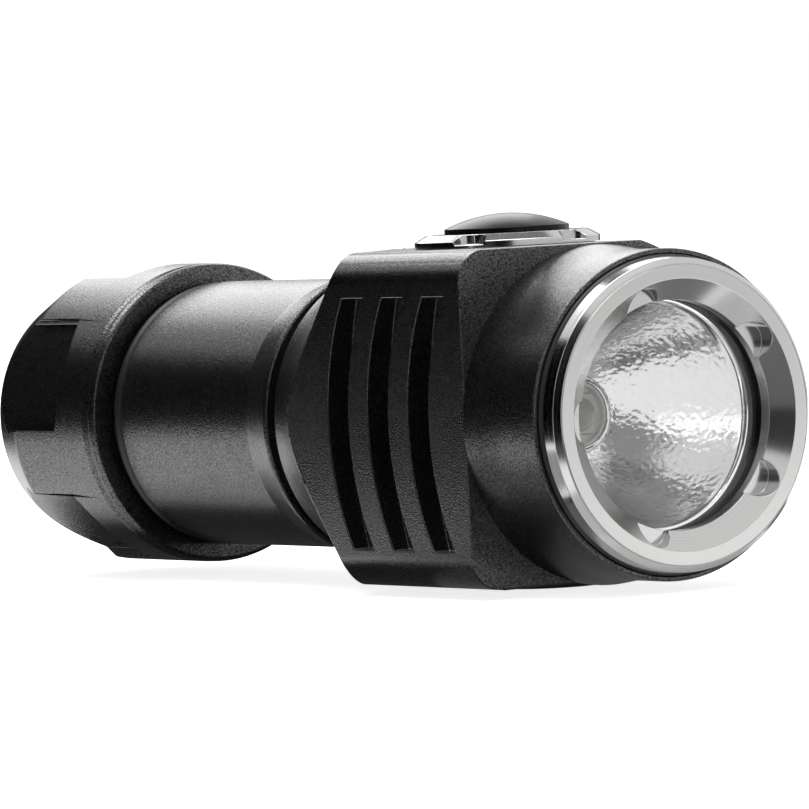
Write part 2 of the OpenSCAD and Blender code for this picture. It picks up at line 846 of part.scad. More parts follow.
module reflector() {
    rise = reflector_h / curve_steps;
    wall_top = reflector_h - flange_t;
    color([0.90, 0.90, 0.90])
        turned(concat(
            [for (i = [0 : curve_steps]) [bowl(i * rise), x_hole + i * rise]],
            [[gasket_r - seat_fit, x_mouth], [gasket_r - seat_fit, x_mouth - flange_t]],
            [
                for (i = [curve_steps : -1 : 0])
                    let (h = wall_top * i / curve_steps)
                        [max(bowl(h) + reflector_wall, reflector_foot), x_hole + h]
            ]
        ));
}

module led_collar() {
    inner = led_w + 2 * seat_fit;
    color([0.93, 0.93, 0.90])
        difference() {
            union() {
                bar(x_led, x_hole, collar_d / 2);
                bar(x_led, x_hole + collar_rim, hole_r - seat_fit);
            }
            translate([x_led - over, -inner / 2, -inner / 2])
                cube([collar_t + collar_rim + 2 * over, inner, inner]);
        }
}

module led_board() {
    color([0.85, 0.86, 0.84])
        difference() {
            bar(x_shelf, x_led, led_board_d / 2);
            for (y = [-1, 1])
                translate([0, y * led_wire_off, 0])
                    bar(x_shelf - over, x_led + over, wire_d / 2 + seat_fit);
            for (z = [-1, 1])
                translate([0, 0, z * led_screw_off])
                    bar(x_shelf - over, x_led + over, screw_d / 2 + seat_fit);
        }
}

module led_base() {
    color([0.90, 0.90, 0.85])
        translate([x_led, -led_w / 2, -led_w / 2]) cube([led_h, led_w, led_w]);
}

module led_dome() {
    color([0.95, 0.88, 0.45])
        intersection() {
            translate([x_led + led_h, 0, 0]) sphere(d = led_dome_d);
            bar(x_led + led_h, x_led + led_h + led_dome_d, led_dome_d);
        }
}

module led_screws() {
    color([0.75, 0.75, 0.76])
        for (z = [-1, 1])
            translate([x_led, 0, z * led_screw_off]) rotate([0, 90, 0]) small_screw();
}

// Two wires from the driver, through the wall, bent in onto the lamp board's pads
module led_wires() {
    bend = wire_bend * wire_d;
    x_top = x_led + bend;
    color([0.60, 0.10, 0.10])
        for (y = [-1, 1])
            tube_along(
                concat(
                    [[x_bay, y * led_wire_off, 0], [(x_bay + x_led) / 2, y * led_wire_off, 0]],
                    [
                        for (a = [0 : 15 : 90])
                            [
                                x_top - bend + bend * sin(a),
                                y * (led_wire_off - bend + bend * cos(a)),
                                0
                            ]
                    ],
                    [[x_top, y * (reflector_foot + face_gap), 0]]
                ),
                wire_d, wire_sides, [0, 0, 1]
            );
}

// Driver

module driver_ring() {
    slot_size = [driver_ring_t, 2 * bore_r, driver_slot_w];
    color([0.80, 0.66, 0.35])
        difference() {
            pipe(x_tube_end, x_driver, thread_r, driver_ring_id / 2);
            translate([x_tube_end - driver_ring_t / 2, -bore_r, -slot_size.z / 2]) cube(slot_size);
        }
}

module driver_board() {
    color([0.05, 0.30, 0.15]) bar(x_driver, x_bay, bore_r - seat_fit);
}

module driver_post() {
    color([0.80, 0.66, 0.35]) bar(x_post, x_driver, post_d / 2);
}

module driver_inductor() {
    color([0.25, 0.25, 0.27])
        translate([x_bay, -inductor_w / 2, inductor_z - inductor_w / 2])
            cube([inductor_h, inductor_w, inductor_w]);
}

module driver_chips() {
    y_chip = led_wire_off - wire_d / 2 - face_gap - chip_w / 2;
    color([0.08, 0.08, 0.08])
        for (y = [-1, 1])
            translate([x_bay, y * y_chip - chip_w / 2, z_chips]) cube([chip_h, chip_w, chip_w]);
}

// Switch

module switch_ring() {
    lip_r = button_d / 2 + run_fit;
    skirt_in = ring_skirt_d / 2 - ring_skirt_wall;
    color([0.80, 0.80, 0.80])
        translate([x_switch, 0, 0])
            difference() {
                rotate_extrude()
                    polygon([
                        [lip_r, z_lip],
                        [skirt_in, z_lip],
                        [skirt_in, z_skirt],
                        [ring_skirt_d / 2, z_skirt],
                        [ring_skirt_d / 2, top_flat],
                        [ring_d / 2, top_flat],
                        [ring_d / 2, top_flat + ring_wall_h],
                        [ring_top_d / 2, z_ring],
                        [lip_r, z_ring]
                    ]);
                for (i = [0 : ring_scallops - 1])
                    rotate([0, 0, ring_turn + 360 * i / ring_scallops])
                        translate([ring_d / 2, 0, top_flat + ring_scallop_floor])
                            cylinder(h = ring_h + over, d = ring_scallop_d);
            }
}

module switch_button() {
    r = button_d / 2;
    dome_r = (r * r + button_dome_h * button_dome_h) / (2 * button_dome_h);
    dome_a = asin(r / dome_r);
    stem_r = plunger_d / 2;
    color([0.04, 0.04, 0.04])
        translate([x_switch, 0, 0])
            rotate_extrude()
                polygon(concat(
                    [
                        [0, z_boot_top + face_gap],
                        [stem_r, z_boot_top + face_gap],
                        [stem_r, z_flange],
                        [r + button_flange, z_flange],
                        [r + button_flange, z_lip - face_gap],
                        [r, z_lip - face_gap]
                    ],
                    [
                        for (i = [0 : curve_steps])
                            let (a = dome_a * (1 - i / curve_steps))
                                [
                                    dome_r * sin(a),
                                    z_button_edge + button_dome_h - dome_r + dome_r * cos(a)
                                ]
                    ]
                ));
}

// Silicone boot: a rim that the ring clamps, and a dome between the button and the plunger
module switch_boot() {
    rim_r = ring_skirt_d / 2;
    dome_r = boot_dome_d / 2;
    color([0.12, 0.12, 0.12])
        translate([x_switch, 0, 0])
            difference() {
                union() {
                    translate([0, 0, z_ledge]) cylinder(h = boot_t, r = rim_r);
                    translate([0, 0, z_ledge]) cylinder(h = z_boot_top - z_ledge, r = dome_r);
                }
                translate([0, 0, z_ledge - over])
                    cylinder(h = z_boot_top - boot_wall - z_ledge + over, r = dome_r - boot_wall);
            }
}

module switch_plunger() {
    color([0.85, 0.85, 0.80])
        translate([x_switch, 0, z_click - face_gap])
            cylinder(h = z_plunger_top - z_click + face_gap, d = plunger_d);
}

module switch_body() {
    color([0.20, 0.20, 0.20])
        difference() {
            block(x_switch, 0, z_ceiling, [click_w, click_w, click_h]);
            translate([x_switch, 0, z_click - button_travel - 2 * face_gap])
                cylinder(h = click_h, d = plunger_d + 2 * run_fit);
        }
}

module switch_board() {
    color([0.05, 0.30, 0.15])
        difference() {
            translate([x_bay_end - switch_board_len, -switch_board_w / 2, z_ceiling - switch_board_t])
                cube([switch_board_len, switch_board_w, switch_board_t]);
            for (y = [-1, 1])
                translate([switch_screw_x(), y * switch_screw_y(), z_ceiling - switch_board_t - over])
                    cylinder(h = switch_board_t + 2 * over, d = screw_d + 2 * seat_fit);
        }
}

module switch_screws() {
    color([0.75, 0.75, 0.76])
        for (y = [-1, 1])
            translate([switch_screw_x(), y * switch_screw_y(), z_ceiling - switch_board_t])
                mirror([0, 0, 1]) small_screw();
}

// Two wires that curve from the driver up to the switch board
module switch_wires() {
    x_end = x_bay_end - switch_board_len / 2;
    z_end = z_ceiling - switch_board_t;
    z_start = inductor_z + inductor_w / 2 + wire_d;
    color([0.15, 0.15, 0.15])
        for (y = [-1, 1] * 2 * wire_d)
            wire(
                [x_bay, y, z_start], [x_end, y, z_start], [x_end, y, z_start], [x_end, y, z_end],
                [0, 1, 0]
            );
}

// Charging port

function anchor_post_x() = x_anchor + cover_w / 4;

// Half of a round pad with a chamfered edge under z = 0, on the -X side
module pad_end() {
    foot = cover_w / 2;
    mirror([0, 0, 1])
        intersection() {
            cylinder(h = cover_t, r1 = foot, r2 = foot - cover_chamfer);
            translate([-cover_w, -cover_w, -over]) cube([cover_w, 2 * cover_w, cover_t + 2 * over]);
        }
}

// Straight run of the same pad
module pad_run(length) {
    foot = cover_w / 2;
    face = foot - cover_chamfer;
    mirror([0, 0, 1])
        rotate([90, 0, 90])
            linear_extrude(length) polygon([[-foot, 0], [foot, 0], [face, cover_t], [-face, cover_t]]);
}

// The cover's pad and plug, with a round edge on the hinge's axis
module port_cover() {
    x_round = x_port - cover_tail + cover_w / 2;
    color([0.06, 0.06, 0.06]) {
        translate([x_round, 0, z_pad]) pad_end();
        translate([x_round, 0, z_pad]) pad_run(x_hinge - x_round);
        translate([x_hinge, 0, z_hinge])
            rotate([90, 0, 0])
                cylinder(h = cover_w - 2 * cover_chamfer, d = cover_t, center = true);
        translate([x_port, 0, z_pad]) linear_extrude(plug_h + face_gap) pill(plug_len, plug_w);
    }
}

// The fixed end of the cover's moulding, held by a post in the head
module port_anchor() {
    color([0.06, 0.06, 0.06]) {
        translate([x_anchor, 0, -bottom_flat]) mirror([1, 0, 0]) pad_end();
        translate([anchor_post_x(), 0, -bottom_flat]) cylinder(h = anchor_post_len, d = anchor_post_d);
    }
}

module port_socket() {
    inner = [socket_len - 2 * socket_wall, socket_w - 2 * socket_wall, socket_h];
    color([0.75, 0.75, 0.77])
        difference() {
            block(x_port, 0, z_socket, [socket_len, socket_w, socket_h]);
            block(x_port, 0, z_socket - 2 * socket_wall, inner);
        }
}

module port_tongue() {
    length = socket_len - 4 * socket_wall;
    height = socket_h - 4 * socket_wall;
    color([0.08, 0.08, 0.08])
        block(x_port, 0, z_port_board - 2 * socket_wall - height, [length, tongue_t, height]);
}

module port_board() {
    length = x_bay_end - x_bay - 2 * port_board_room;
    color([0.05, 0.30, 0.15])
        block(x_port, 0, z_port_board, [length, port_board_w, port_board_t]);
}

// Two wires that curve from the driver down to the charging board
module port_wires() {
    x_end = (x_bay + x_port) / 2;
    z_end = z_port_board + port_board_t;
    z_start = z_chips + wire_d;
    color([0.60, 0.10, 0.10])
        for (y = [-1, 1] * wire_d)
            wire(
                [x_bay, y, z_start], [x_end, y, z_start], [x_end, y, z_start], [x_end, y, z_end],
                [0, 1, 0]
            );
}

tail_cap();
tail_plate();
tail_spring();
tail_seal();
battery_tube();
head_seal();
cell_can();
cell_terminal();
cell_washer();
head_body();
bezel_ring();
bezel_seal();
lens();
lens_gasket();
reflector();
led_collar();
led_board();
led_base();
led_dome();
led_screws();
led_wires();
driver_ring();
driver_board();
driver_post();
driver_inductor();
driver_chips();
switch_ring();
switch_button();
switch_boot();
switch_plunger();
switch_body();
switch_board();
switch_screws();
switch_wires();
port_cover();
port_anchor();
port_socket();
port_tongue();
port_board();
port_wires();
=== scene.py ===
from math import acos, asin, cos, hypot, pi, radians, sin, sqrt, tan

import bmesh
import bpy
from mathutils import Euler, Matrix, Vector, noise


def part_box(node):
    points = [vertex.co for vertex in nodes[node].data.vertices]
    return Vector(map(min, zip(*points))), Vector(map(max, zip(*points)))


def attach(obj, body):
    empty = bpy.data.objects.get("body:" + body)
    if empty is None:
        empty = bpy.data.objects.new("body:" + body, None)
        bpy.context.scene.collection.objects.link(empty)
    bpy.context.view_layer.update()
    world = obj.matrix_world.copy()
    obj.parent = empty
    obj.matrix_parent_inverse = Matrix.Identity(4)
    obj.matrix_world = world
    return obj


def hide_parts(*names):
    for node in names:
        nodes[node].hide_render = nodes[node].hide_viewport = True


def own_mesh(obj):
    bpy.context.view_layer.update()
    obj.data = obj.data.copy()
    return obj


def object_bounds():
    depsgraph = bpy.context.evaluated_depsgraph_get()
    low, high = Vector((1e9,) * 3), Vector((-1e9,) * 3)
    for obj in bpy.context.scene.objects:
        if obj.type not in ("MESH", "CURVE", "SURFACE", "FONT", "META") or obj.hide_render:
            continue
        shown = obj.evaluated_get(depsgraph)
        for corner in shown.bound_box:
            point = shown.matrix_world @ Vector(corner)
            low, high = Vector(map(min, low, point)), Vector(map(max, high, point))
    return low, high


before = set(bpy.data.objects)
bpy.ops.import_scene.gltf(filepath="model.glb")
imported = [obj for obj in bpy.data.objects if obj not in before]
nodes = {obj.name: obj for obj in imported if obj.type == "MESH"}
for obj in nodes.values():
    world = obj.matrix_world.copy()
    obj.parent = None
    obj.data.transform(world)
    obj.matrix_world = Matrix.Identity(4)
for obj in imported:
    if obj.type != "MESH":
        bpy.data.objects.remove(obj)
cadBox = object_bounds()
mm = 0.001  # lengths below are millimetres, the scene is in metres
past = 1.0  # how far a cutter runs on past the surface that it opens
sunk = 0.1  # how far a joined shape reaches into the one that carries it
nearest = 1e-7  # points closer than this, in metres, are one
onAxis = 1e-6  # a smaller radius is a point on the axis
alongX, alongY, alongZ = range(3)


# Small helpers

def hexColour(text):
    # sRGB hex to the linear colour that the shaders take
    parts = [int(text[i:i + 2], 16) / 255 for i in (1, 3, 5)]
    linear = [c / 12.92 if c <= 0.04045 else ((c + 0.055) / 1.055) ** 2.4 for c in parts]
    return (*linear, 1.0)


def addNode(tree, kind, settings=None, inputs=None):
    # one node with its settings; an input is a value, or a socket to link from
    node = tree.nodes.new(kind)
    for name, value in (settings or {}).items():
        setattr(node, name, value)
    for name, value in (inputs or {}).items():
        if isinstance(value, bpy.types.NodeSocket):
            tree.links.new(value, node.inputs[name])
        else:
            node.inputs[name].default_value = value
    return node


def perMetre(size):
    # a texture's scale for a pattern of this size in millimetres
    return 1 / (size * mm)


def span(node):
    # a CAD node's lowest and highest corners, in millimetres
    low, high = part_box(node)
    return low / mm, high / mm


def middleOf(node):
    low, high = span(node)
    return (low + high) / 2


def circle(radius, step, centre=(0, 0)):
    # points round a centre, a step of degrees apart
    angles = [radians(a) for a in range(0, 360, step)]
    return [(centre[0] + radius * cos(a), centre[1] + radius * sin(a)) for a in angles]


def square(half):
    return [(-half, -half), (half, -half), (half, half), (-half, half)]


# Materials: sizes in millimetres, with grit, peel and turning marks drawn coarser than real ones, to show

def newMaterial(name, **sockets):
    material = bpy.data.materials.new(name)
    material.use_nodes = True
    tree = material.node_tree
    tree.nodes.clear()
    inputs = {socket.replace("_", " "): value for socket, value in sockets.items()}
    surface = addNode(tree, "ShaderNodeBsdfPrincipled", inputs=inputs)
    addNode(tree, "ShaderNodeOutputMaterial", inputs={"Surface": surface.outputs["BSDF"]})
    coords = addNode(tree, "ShaderNodeTexCoord").outputs["Object"]
    return material, tree, surface, coords


def dress(tree, surface, look, tone, sheen, skin):
    # three patterns give the colour between two tones, the roughness and the bump
    ramp = addNode(tree, "ShaderNodeValToRGB", inputs={"Fac": tone})
    for stop, colour in zip(ramp.color_ramp.elements, (look["dark"], look["light"])):
        stop.color = hexColour(colour)
    rough = addNode(tree, "ShaderNodeMapRange", inputs={
        "Value": sheen, "To Min": look["sheenLow"], "To Max": look["sheenHigh"],
    })
    bump = addNode(tree, "ShaderNodeBump", inputs={
        "Height": skin, "Distance": look["depth"] * mm, "Strength": 1.0,
    })
    tree.links.new(ramp.outputs["Color"], surface.inputs["Base Color"])
    tree.links.new(rough.outputs["Result"], surface.inputs["Roughness"])
    tree.links.new(bump.outputs["Normal"], surface.inputs["Normal"])


def anodisedAluminium():
    # bead-blasted, then dyed black: a fine sparkle of grit over a soft satin sheen
    look = {"grit": 0.13, "depth": 0.015, "cloud": 7.0, "dark": "#161617", "light": "#6c6c6d",
            "speckLow": -0.25, "speckHigh": 1.25, "sheenLow": 0.24, "sheenHigh": 0.3}
    material, tree, surface, coords = newMaterial(
        "anodisedAluminium", Metallic=0.95, Coat_Weight=0.15, Coat_Roughness=0.3,
    )
    cloud = addNode(tree, "ShaderNodeTexNoise", inputs={
        "Vector": coords, "Scale": perMetre(look["cloud"]), "Detail": 4.0, "Roughness": 0.6,
    }).outputs["Fac"]
    grit = addNode(tree, "ShaderNodeTexNoise", inputs={
        "Vector": coords, "Scale": perMetre(look["grit"]), "Detail": 0.0,
    }).outputs["Fac"]
    speck = addNode(tree, "ShaderNodeMapRange", inputs={
        "Value": grit, "To Min": look["speckLow"], "To Max": look["speckHigh"],
    }).outputs["Result"]
    dress(tree, surface, look, tone=speck, sheen=cloud, skin=grit)
    return material


def turnedSteel(name, centre, axis):
    # stainless steel, turned and polished: faint rings round the axis that it was turned about
    look = {"ring": 0.09, "depth": 0.0008, "dark": "#b9b9b8", "light": "#cbcbca",
            "sheenLow": 0.12, "sheenHigh": 0.2}
    material, tree, surface, coords = newMaterial(name, Metallic=1.0)
    offset = addNode(tree, "ShaderNodeVectorMath", {"operation": "SUBTRACT"}, {
        0: coords, 1: Vector(centre) * mm,
    })
    across = addNode(tree, "ShaderNodeVectorMath", {"operation": "MULTIPLY"}, {
        0: offset.outputs["Vector"], 1: [0.0 if i == axis else 1.0 for i in range(3)],
    })
    radius = addNode(tree, "ShaderNodeVectorMath", {"operation": "LENGTH"}, {0: across.outputs["Vector"]})
    rings = addNode(tree, "ShaderNodeTexNoise", {"noise_dimensions": "1D"}, {
        "W": radius.outputs["Value"], "Scale": perMetre(look["ring"]), "Detail": 3.0,
    }).outputs["Fac"]
    dress(tree, surface, look, tone=rings, sheen=rings, skin=rings)
    return material


def platedReflector():
    # vapour-plated aluminium over lacquer: a mirror with the lacquer's fine orange peel
    look = {"peel": 0.4, "depth": 0.006, "dark": "#eeeeee", "light": "#f8f8f8",
            "sheenLow": 0.03, "sheenHigh": 0.09}
    material, tree, surface, coords = newMaterial("platedReflector", Metallic=1.0)
    peel = addNode(tree, "ShaderNodeTexNoise", inputs={
        "Vector": coords, "Scale": perMetre(look["peel"]), "Detail": 2.0,
    }).outputs["Fac"]
    dress(tree, surface, look, tone=peel, sheen=peel, skin=peel)
    return material


def lensGlass():
    # toughened glass, polished and coated: clear, with a thin haze of dust in its gloss
    look = {"dust": 1.6, "sheenLow": 0.0, "sheenHigh": 0.02}
    material, tree, surface, coords = newMaterial(
        "lensGlass", Base_Color=hexColour("#ffffff"), Transmission_Weight=1.0, IOR=1.5,
        Specular_IOR_Level=0.2,
    )
    dust = addNode(tree, "ShaderNodeTexNoise", inputs={
        "Vector": coords, "Scale": perMetre(look["dust"]), "Detail": 5.0,
    }).outputs["Fac"]
    haze = addNode(tree, "ShaderNodeMapRange", inputs={
        "Value": dust, "To Min": look["sheenLow"], "To Max": look["sheenHigh"],
    })
    tree.links.new(haze.outputs["Result"], surface.inputs["Roughness"])
    return material


def grained(name, dark, light, rough, grain, depth, **sockets):
    # a plain material whose colour, sheen and skin vary with one grain
    sheenSpread = 0.05
    look = {"dark": dark, "light": light, "depth": depth,
            "sheenLow": rough - sheenSpread, "sheenHigh": rough + sheenSpread}
    material, tree, surface, coords = newMaterial(name, **sockets)
    fleck = addNode(tree, "ShaderNodeTexNoise", inputs={
        "Vector": coords, "Scale": perMetre(grain), "Detail": 4.0, "Roughness": 0.55,
    }).outputs["Fac"]
    dress(tree, surface, look, tone=fleck, sheen=fleck, skin=fleck)
    return material


switchCentre = middleOf("switch_ring")

anodised = anodisedAluminium()
bezelSteel = turnedSteel("turnedBezelSteel", (0, 0, 0), alongX)
ringSteel = turnedSteel("turnedRingSteel", switchCentre, alongZ)
reflectorMetal = platedReflector()
glass = lensGlass()
# nitrile seal cord and cover: moulded, dull black with a faint bloom
rubber = grained("nitrileRubber", dark="#0d0d0d", light="#151515", rough=0.5, grain=0.5, depth=0.006)
# moulded acrylic cap of the button: deep gloss black
buttonGloss = grained("glossBlackAcrylic", dark="#060606", light="#090909", rough=0.26, grain=2.5,
                      depth=0.001, Specular_IOR_Level=0.15)
# silicone boot: softer and greyer than the seals
silicone = grained("siliconeBoot", dark="#1a1a1a", light="#242424", rough=0.6, grain=0.4, depth=0.004)
# drawn spring wire: bright with draw marks
springWire = grained("drawnSpringWire", dark="#a9a9ab", light="#c4c4c6", rough=0.28, grain=0.3, depth=0.003,
                     Metallic=1.0)
# nickel plate on screws and stamped shells: bright and slightly warm
nickelPlate = grained("nickelPlate", dark="#b4b2ae", light="#cbc9c4", rough=0.22, grain=0.6, depth=0.002,
                      Metallic=1.0)
# turned brass contacts: warm, satin
brass = grained("turnedBrass", dark="#b58d4a", light="#cda45c", rough=0.3, grain=0.4, depth=0.003,
                Metallic=1.0)
# moulded white nylon of the collar and washer: pale, with a dull skin
nylon = grained("whiteNylon", dark="#e4e3de", light="#f0efeb", rough=0.5, grain=0.5, depth=0.003)
# lamp board: aluminium under white solder mask, with the mask's waviness
lampMask = grained("whiteSolderMask", dark="#d8d9d6", light="#e8e8e5", rough=0.35, grain=0.8, depth=0.003)
# phosphor under a clear silicone dome: greyish yellow with a wet gloss
phosphor = grained("phosphorSilicone", dark="#8f8f86", light="#a3a399", rough=0.18, grain=0.25, depth=0.001,
                   Coat_Weight=0.6)
# glass-fibre circuit board under green mask, with the weave just showing
circuitMask = grained("greenSolderMask", dark="#0f3d22", light="#15512e", rough=0.36, grain=0.5, depth=0.004)
# epoxy chip bodies: fine matt grit
epoxy = grained("mouldedEpoxy", dark="#171717", light="#222222", rough=0.55, grain=0.15, depth=0.003)
# PVC wire covers: smooth, with a dull gloss
redInsulation = grained("redWirePvc", dark="#7d1a18", light="#93201d", rough=0.42, grain=0.7, depth=0.002)
blackInsulation = grained("blackWirePvc", dark="#121212", light="#1b1b1b", rough=0.42, grain=0.7, depth=0.002)
# shrunk film on the cell: glossy, with slight waves
cellFilm = grained("shrunkCellFilm", dark="#1c3a6b", light="#22457d", rough=0.22, grain=3.0, depth=0.01)
print("materials made")


# Meshes

def alongLamp(station, radius, angle):
    return Vector((station, radius * cos(angle), radius * sin(angle))) * mm


def aboutSwitch(station, radius, angle):
    return Vector((switchCentre.x + radius * cos(angle), radius * sin(angle), station)) * mm


def softened(corners, rounds, steps=4):
    # (station, radius) corners to a chain with an arc for each round, in the corners' order
    # a tight loop holds each arc on either side
    arc = {"edgeShare": 0.4, "hold": 0.04, "holdShare": 0.2}
    chain = []
    for i, (place, fillet) in enumerate(zip(corners, rounds, strict=True)):
        corner = Vector(place)
        if fillet == 0:
            chain.append(corner)
            continue
        toLast = Vector(corners[i - 1]) - corner
        toNext = Vector(corners[(i + 1) % len(corners)]) - corner
        half = toLast.angle(toNext) / 2
        reach = min(fillet / tan(half), arc["edgeShare"] * toLast.length, arc["edgeShare"] * toNext.length)
        size = reach * tan(half)
        toLast.normalize()
        toNext.normalize()
        centre = corner + (toLast + toNext).normalized() * size / sin(half)
        arm = corner + toLast * reach - centre
        sweep = (corner + toNext * reach - centre).angle_signed(arm)
        margin = min(arc["hold"], arc["holdShare"] * reach)
        chain.append(corner + toLast * (reach + margin))
        chain += [centre + Matrix.Rotation(sweep * k / steps, 2) @ arm for k in range(steps + 1)]
        chain.append(corner + toNext * (reach + margin))
    return chain


def newObject(name, data, material=None):
    obj = bpy.data.objects.new(name, data)
    bpy.context.scene.collection.objects.link(obj)
    if material:
        data.materials.append(material)
    return obj


def meshFrom(name, bm, material, sharpAngle=35):
    bmesh.ops.remove_doubles(bm, verts=bm.verts, dist=nearest)
    bmesh.ops.recalc_face_normals(bm, faces=bm.faces)
    mesh = bpy.data.meshes.new(name)
    bm.to_mesh(mesh)
    bm.free()
    mesh.shade_smooth()
    mesh.set_sharp_from_angle(angle=radians(sharpAngle))
    return newObject(name, mesh, material)


def turned(name, chain, material, closed=False, segments=192, place=alongLamp):
    # turns a chain of (station, radius) about an axis; a radius may be a function of the angle
    bm = bmesh.new()
    angles = [2 * pi * j / segments for j in range(segments)]
    rows = []
    for station, radius in chain:
        if callable(radius):
            rows.append([bm.verts.new(place(station, radius(a), a)) for a in angles])
        elif radius < onAxis:
            rows.append([bm.verts.new(place(station, 0, 0))] * segments)
        else:
            rows.append([bm.verts.new(place(station, radius, a)) for a in angles])
    pairs = list(zip(rows, rows[1:])) + ([(rows[-1], rows[0])] if closed else [])
    for row, after in pairs:
        for j in range(segments):
            k = (j + 1) % segments
            corners = list(dict.fromkeys((row[j], row[k], after[k], after[j])))
            if len(corners) > 2:
                bm.faces.new(corners)
    return meshFrom(name, bm, material)


def lathe(name, corners, rounds, material, closed=False, steps=4, **settings):
    return turned(name, softened(corners, rounds, steps), material, closed, **settings)


def loft(name, *stacks, material=None):
    # a solid through each stack of outlines, which have as many points each
    bm = bmesh.new()
    for stack in stacks:
        rings = [[bm.verts.new(Vector(p) * mm) for p in outline] for outline in stack]
        bm.faces.new(rings[0])
        bm.faces.new(rings[-1])
        for ring, after in zip(rings, rings[1:]):
            for j in range(len(ring)):
                k = (j + 1) % len(ring)
                bm.faces.new((ring[j], ring[k], after[k], after[j]))
    return meshFrom(name, bm, material)


def extruded(name, outline, axis, start, end, material=None):
    # an outline of pairs carried along an axis
    ends = [[(*p[:axis], at, *p[axis:]) for p in outline] for at in (start, end)]
    return loft(name, ends, material=material)


def bake(obj):
    # the modifiers' result as a plain mesh
    graph = bpy.context.evaluated_depsgraph_get()
    mesh = bpy.data.meshes.new_from_object(obj.evaluated_get(graph))
    obj.modifiers.clear()
    spent = obj.data
    obj.data = mesh
    bpy.data.meshes.remove(spent)


def carve(obj, cutter, operation="DIFFERENCE"):
    cut = obj.modifiers.new("carve", "BOOLEAN")
    cut.object = cutter
    cut.operation = operation
    cut.solver = "EXACT"
    bake(obj)
    bpy.data.objects.remove(cutter)


def newTree(name, **sockets):
    # a geometry tree with these inputs, and one for the material of what it makes
    tree = bpy.data.node_groups.new(name, "GeometryNodeTree")
    for socket, kind in (*sockets.items(), ("Finish", "Material")):
        tree.interface.new_socket(socket, in_out="INPUT", socket_type="NodeSocket" + kind)
    tree.interface.new_socket("Result", in_out="OUTPUT", socket_type="NodeSocketGeometry")
    return tree, addNode(tree, "NodeGroupInput").outputs


def endTree(tree, shape, finish):
    # the shape made real, with its material
    whole = addNode(tree, "GeometryNodeRealizeInstances", inputs={"Geometry": shape})
    coated = addNode(tree, "GeometryNodeSetMaterial", inputs={
        "Geometry": whole.outputs["Geometry"], "Material": finish,
    })
    addNode(tree, "NodeGroupOutput", inputs={"Result": coated.outputs["Geometry"]})
    return tree


def repeatedCutTree():
    # cuts a base with copies of a cutter, each stepped and turned on from the last
    tree, given = newTree(
        "repeatedCut", Base="Geometry", Cutter="Object", Count="Int", Start="Vector", Step="Vector",
        Turn="Vector",
    )
    line = addNode(tree, "GeometryNodeMeshLine", inputs={
        "Count": given["Count"], "Start Location": given["Start"], "Offset": given["Step"],
    })
    index = addNode(tree, "GeometryNodeInputIndex").outputs["Index"]
    turn = addNode(tree, "ShaderNodeVectorMath", {"operation": "SCALE"}, {0: given["Turn"], "Scale": index})
    shape = addNode(tree, "GeometryNodeObjectInfo", inputs={"Object": given["Cutter"]})
    copies = addNode(tree, "GeometryNodeInstanceOnPoints", inputs={
        "Points": line.outputs["Mesh"], "Instance": shape.outputs["Geometry"],
        "Rotation": turn.outputs["Vector"],
    })
    real = addNode(tree, "GeometryNodeRealizeInstances", inputs={"Geometry": copies.outputs["Instances"]})
    cut = addNode(tree, "GeometryNodeMeshBoolean", {"operation": "DIFFERENCE", "solver": "EXACT"}, {
        "Mesh 1": given["Base"], "Mesh 2": real.outputs["Geometry"],
    })
    return endTree(tree, cut.outputs["Mesh"], given["Finish"])


def sweptTubeTree():
    # a round tube along a chain of edges
    tree, given = newTree("sweptTube", Route="Geometry", Diameter="Float", Sides="Int")
    route = addNode(tree, "GeometryNodeMeshToCurve", inputs={"Mesh": given["Route"]})
    radius = addNode(tree, "ShaderNodeMath", {"operation": "MULTIPLY"}, {0: given["Diameter"], 1: 0.5})
    ring = addNode(tree, "GeometryNodeCurvePrimitiveCircle", inputs={
        "Resolution": given["Sides"], "Radius": radius.outputs["Value"],
    })
    tube = addNode(tree, "GeometryNodeCurveToMesh", inputs={
        "Curve": route.outputs["Curve"], "Profile Curve": ring.outputs["Curve"], "Fill Caps": True,
    })
    smooth = addNode(tree, "GeometryNodeSetShadeSmooth", inputs={"Geometry": tube.outputs["Mesh"]})
    return endTree(tree, smooth.outputs["Geometry"], given["Finish"])


def placedCopiesTree():
    # one turned copy of a part at each point of a base
    tree, given = newTree("placedCopies", Points="Geometry", Part="Object", Turn="Vector")
    shape = addNode(tree, "GeometryNodeObjectInfo", inputs={"Object": given["Part"]})
    copies = addNode(tree, "GeometryNodeInstanceOnPoints", inputs={
        "Points": given["Points"], "Instance": shape.outputs["Geometry"], "Rotation": given["Turn"],
    })
    return endTree(tree, copies.outputs["Instances"], given["Finish"])


repeatedCut = repeatedCutTree()
sweptTube = sweptTubeTree()
placedCopies = placedCopiesTree()


def growNodes(obj, tree, **values):
    # runs a node tree on an object and keeps the mesh that it makes
    grown = obj.modifiers.new(tree.name, "NODES")
    grown.node_group = tree
    for item in tree.interface.items_tree:
        if item.in_out == "INPUT" and item.name in values:
            grown[item.identifier] = values[item.name]
    bake(obj)


def cutCopies(obj, cutter, count, turn=(0, 0, 0), step=(0, 0, 0), start=(0, 0, 0)):
    growNodes(
        obj, repeatedCut, Cutter=cutter, Count=count, Finish=obj.data.materials[0],
        Turn=[radians(a) for a in turn], Step=[v * mm for v in step], Start=[v * mm for v in start],
    )
    bpy.data.objects.remove(cutter)


def sweptAlong(name, routes, diameter, material, sides=16):
    # one tube along each route of points
    bm = bmesh.new()
    for route in routes:
        line = [bm.verts.new(Vector(p) * mm) for p in route]
        for start, end in zip(line, line[1:]):
            bm.edges.new((start, end))
    obj = meshFrom(name, bm, material)
    growNodes(obj, sweptTube, Diameter=diameter * mm, Sides=sides, Finish=material)
    return obj


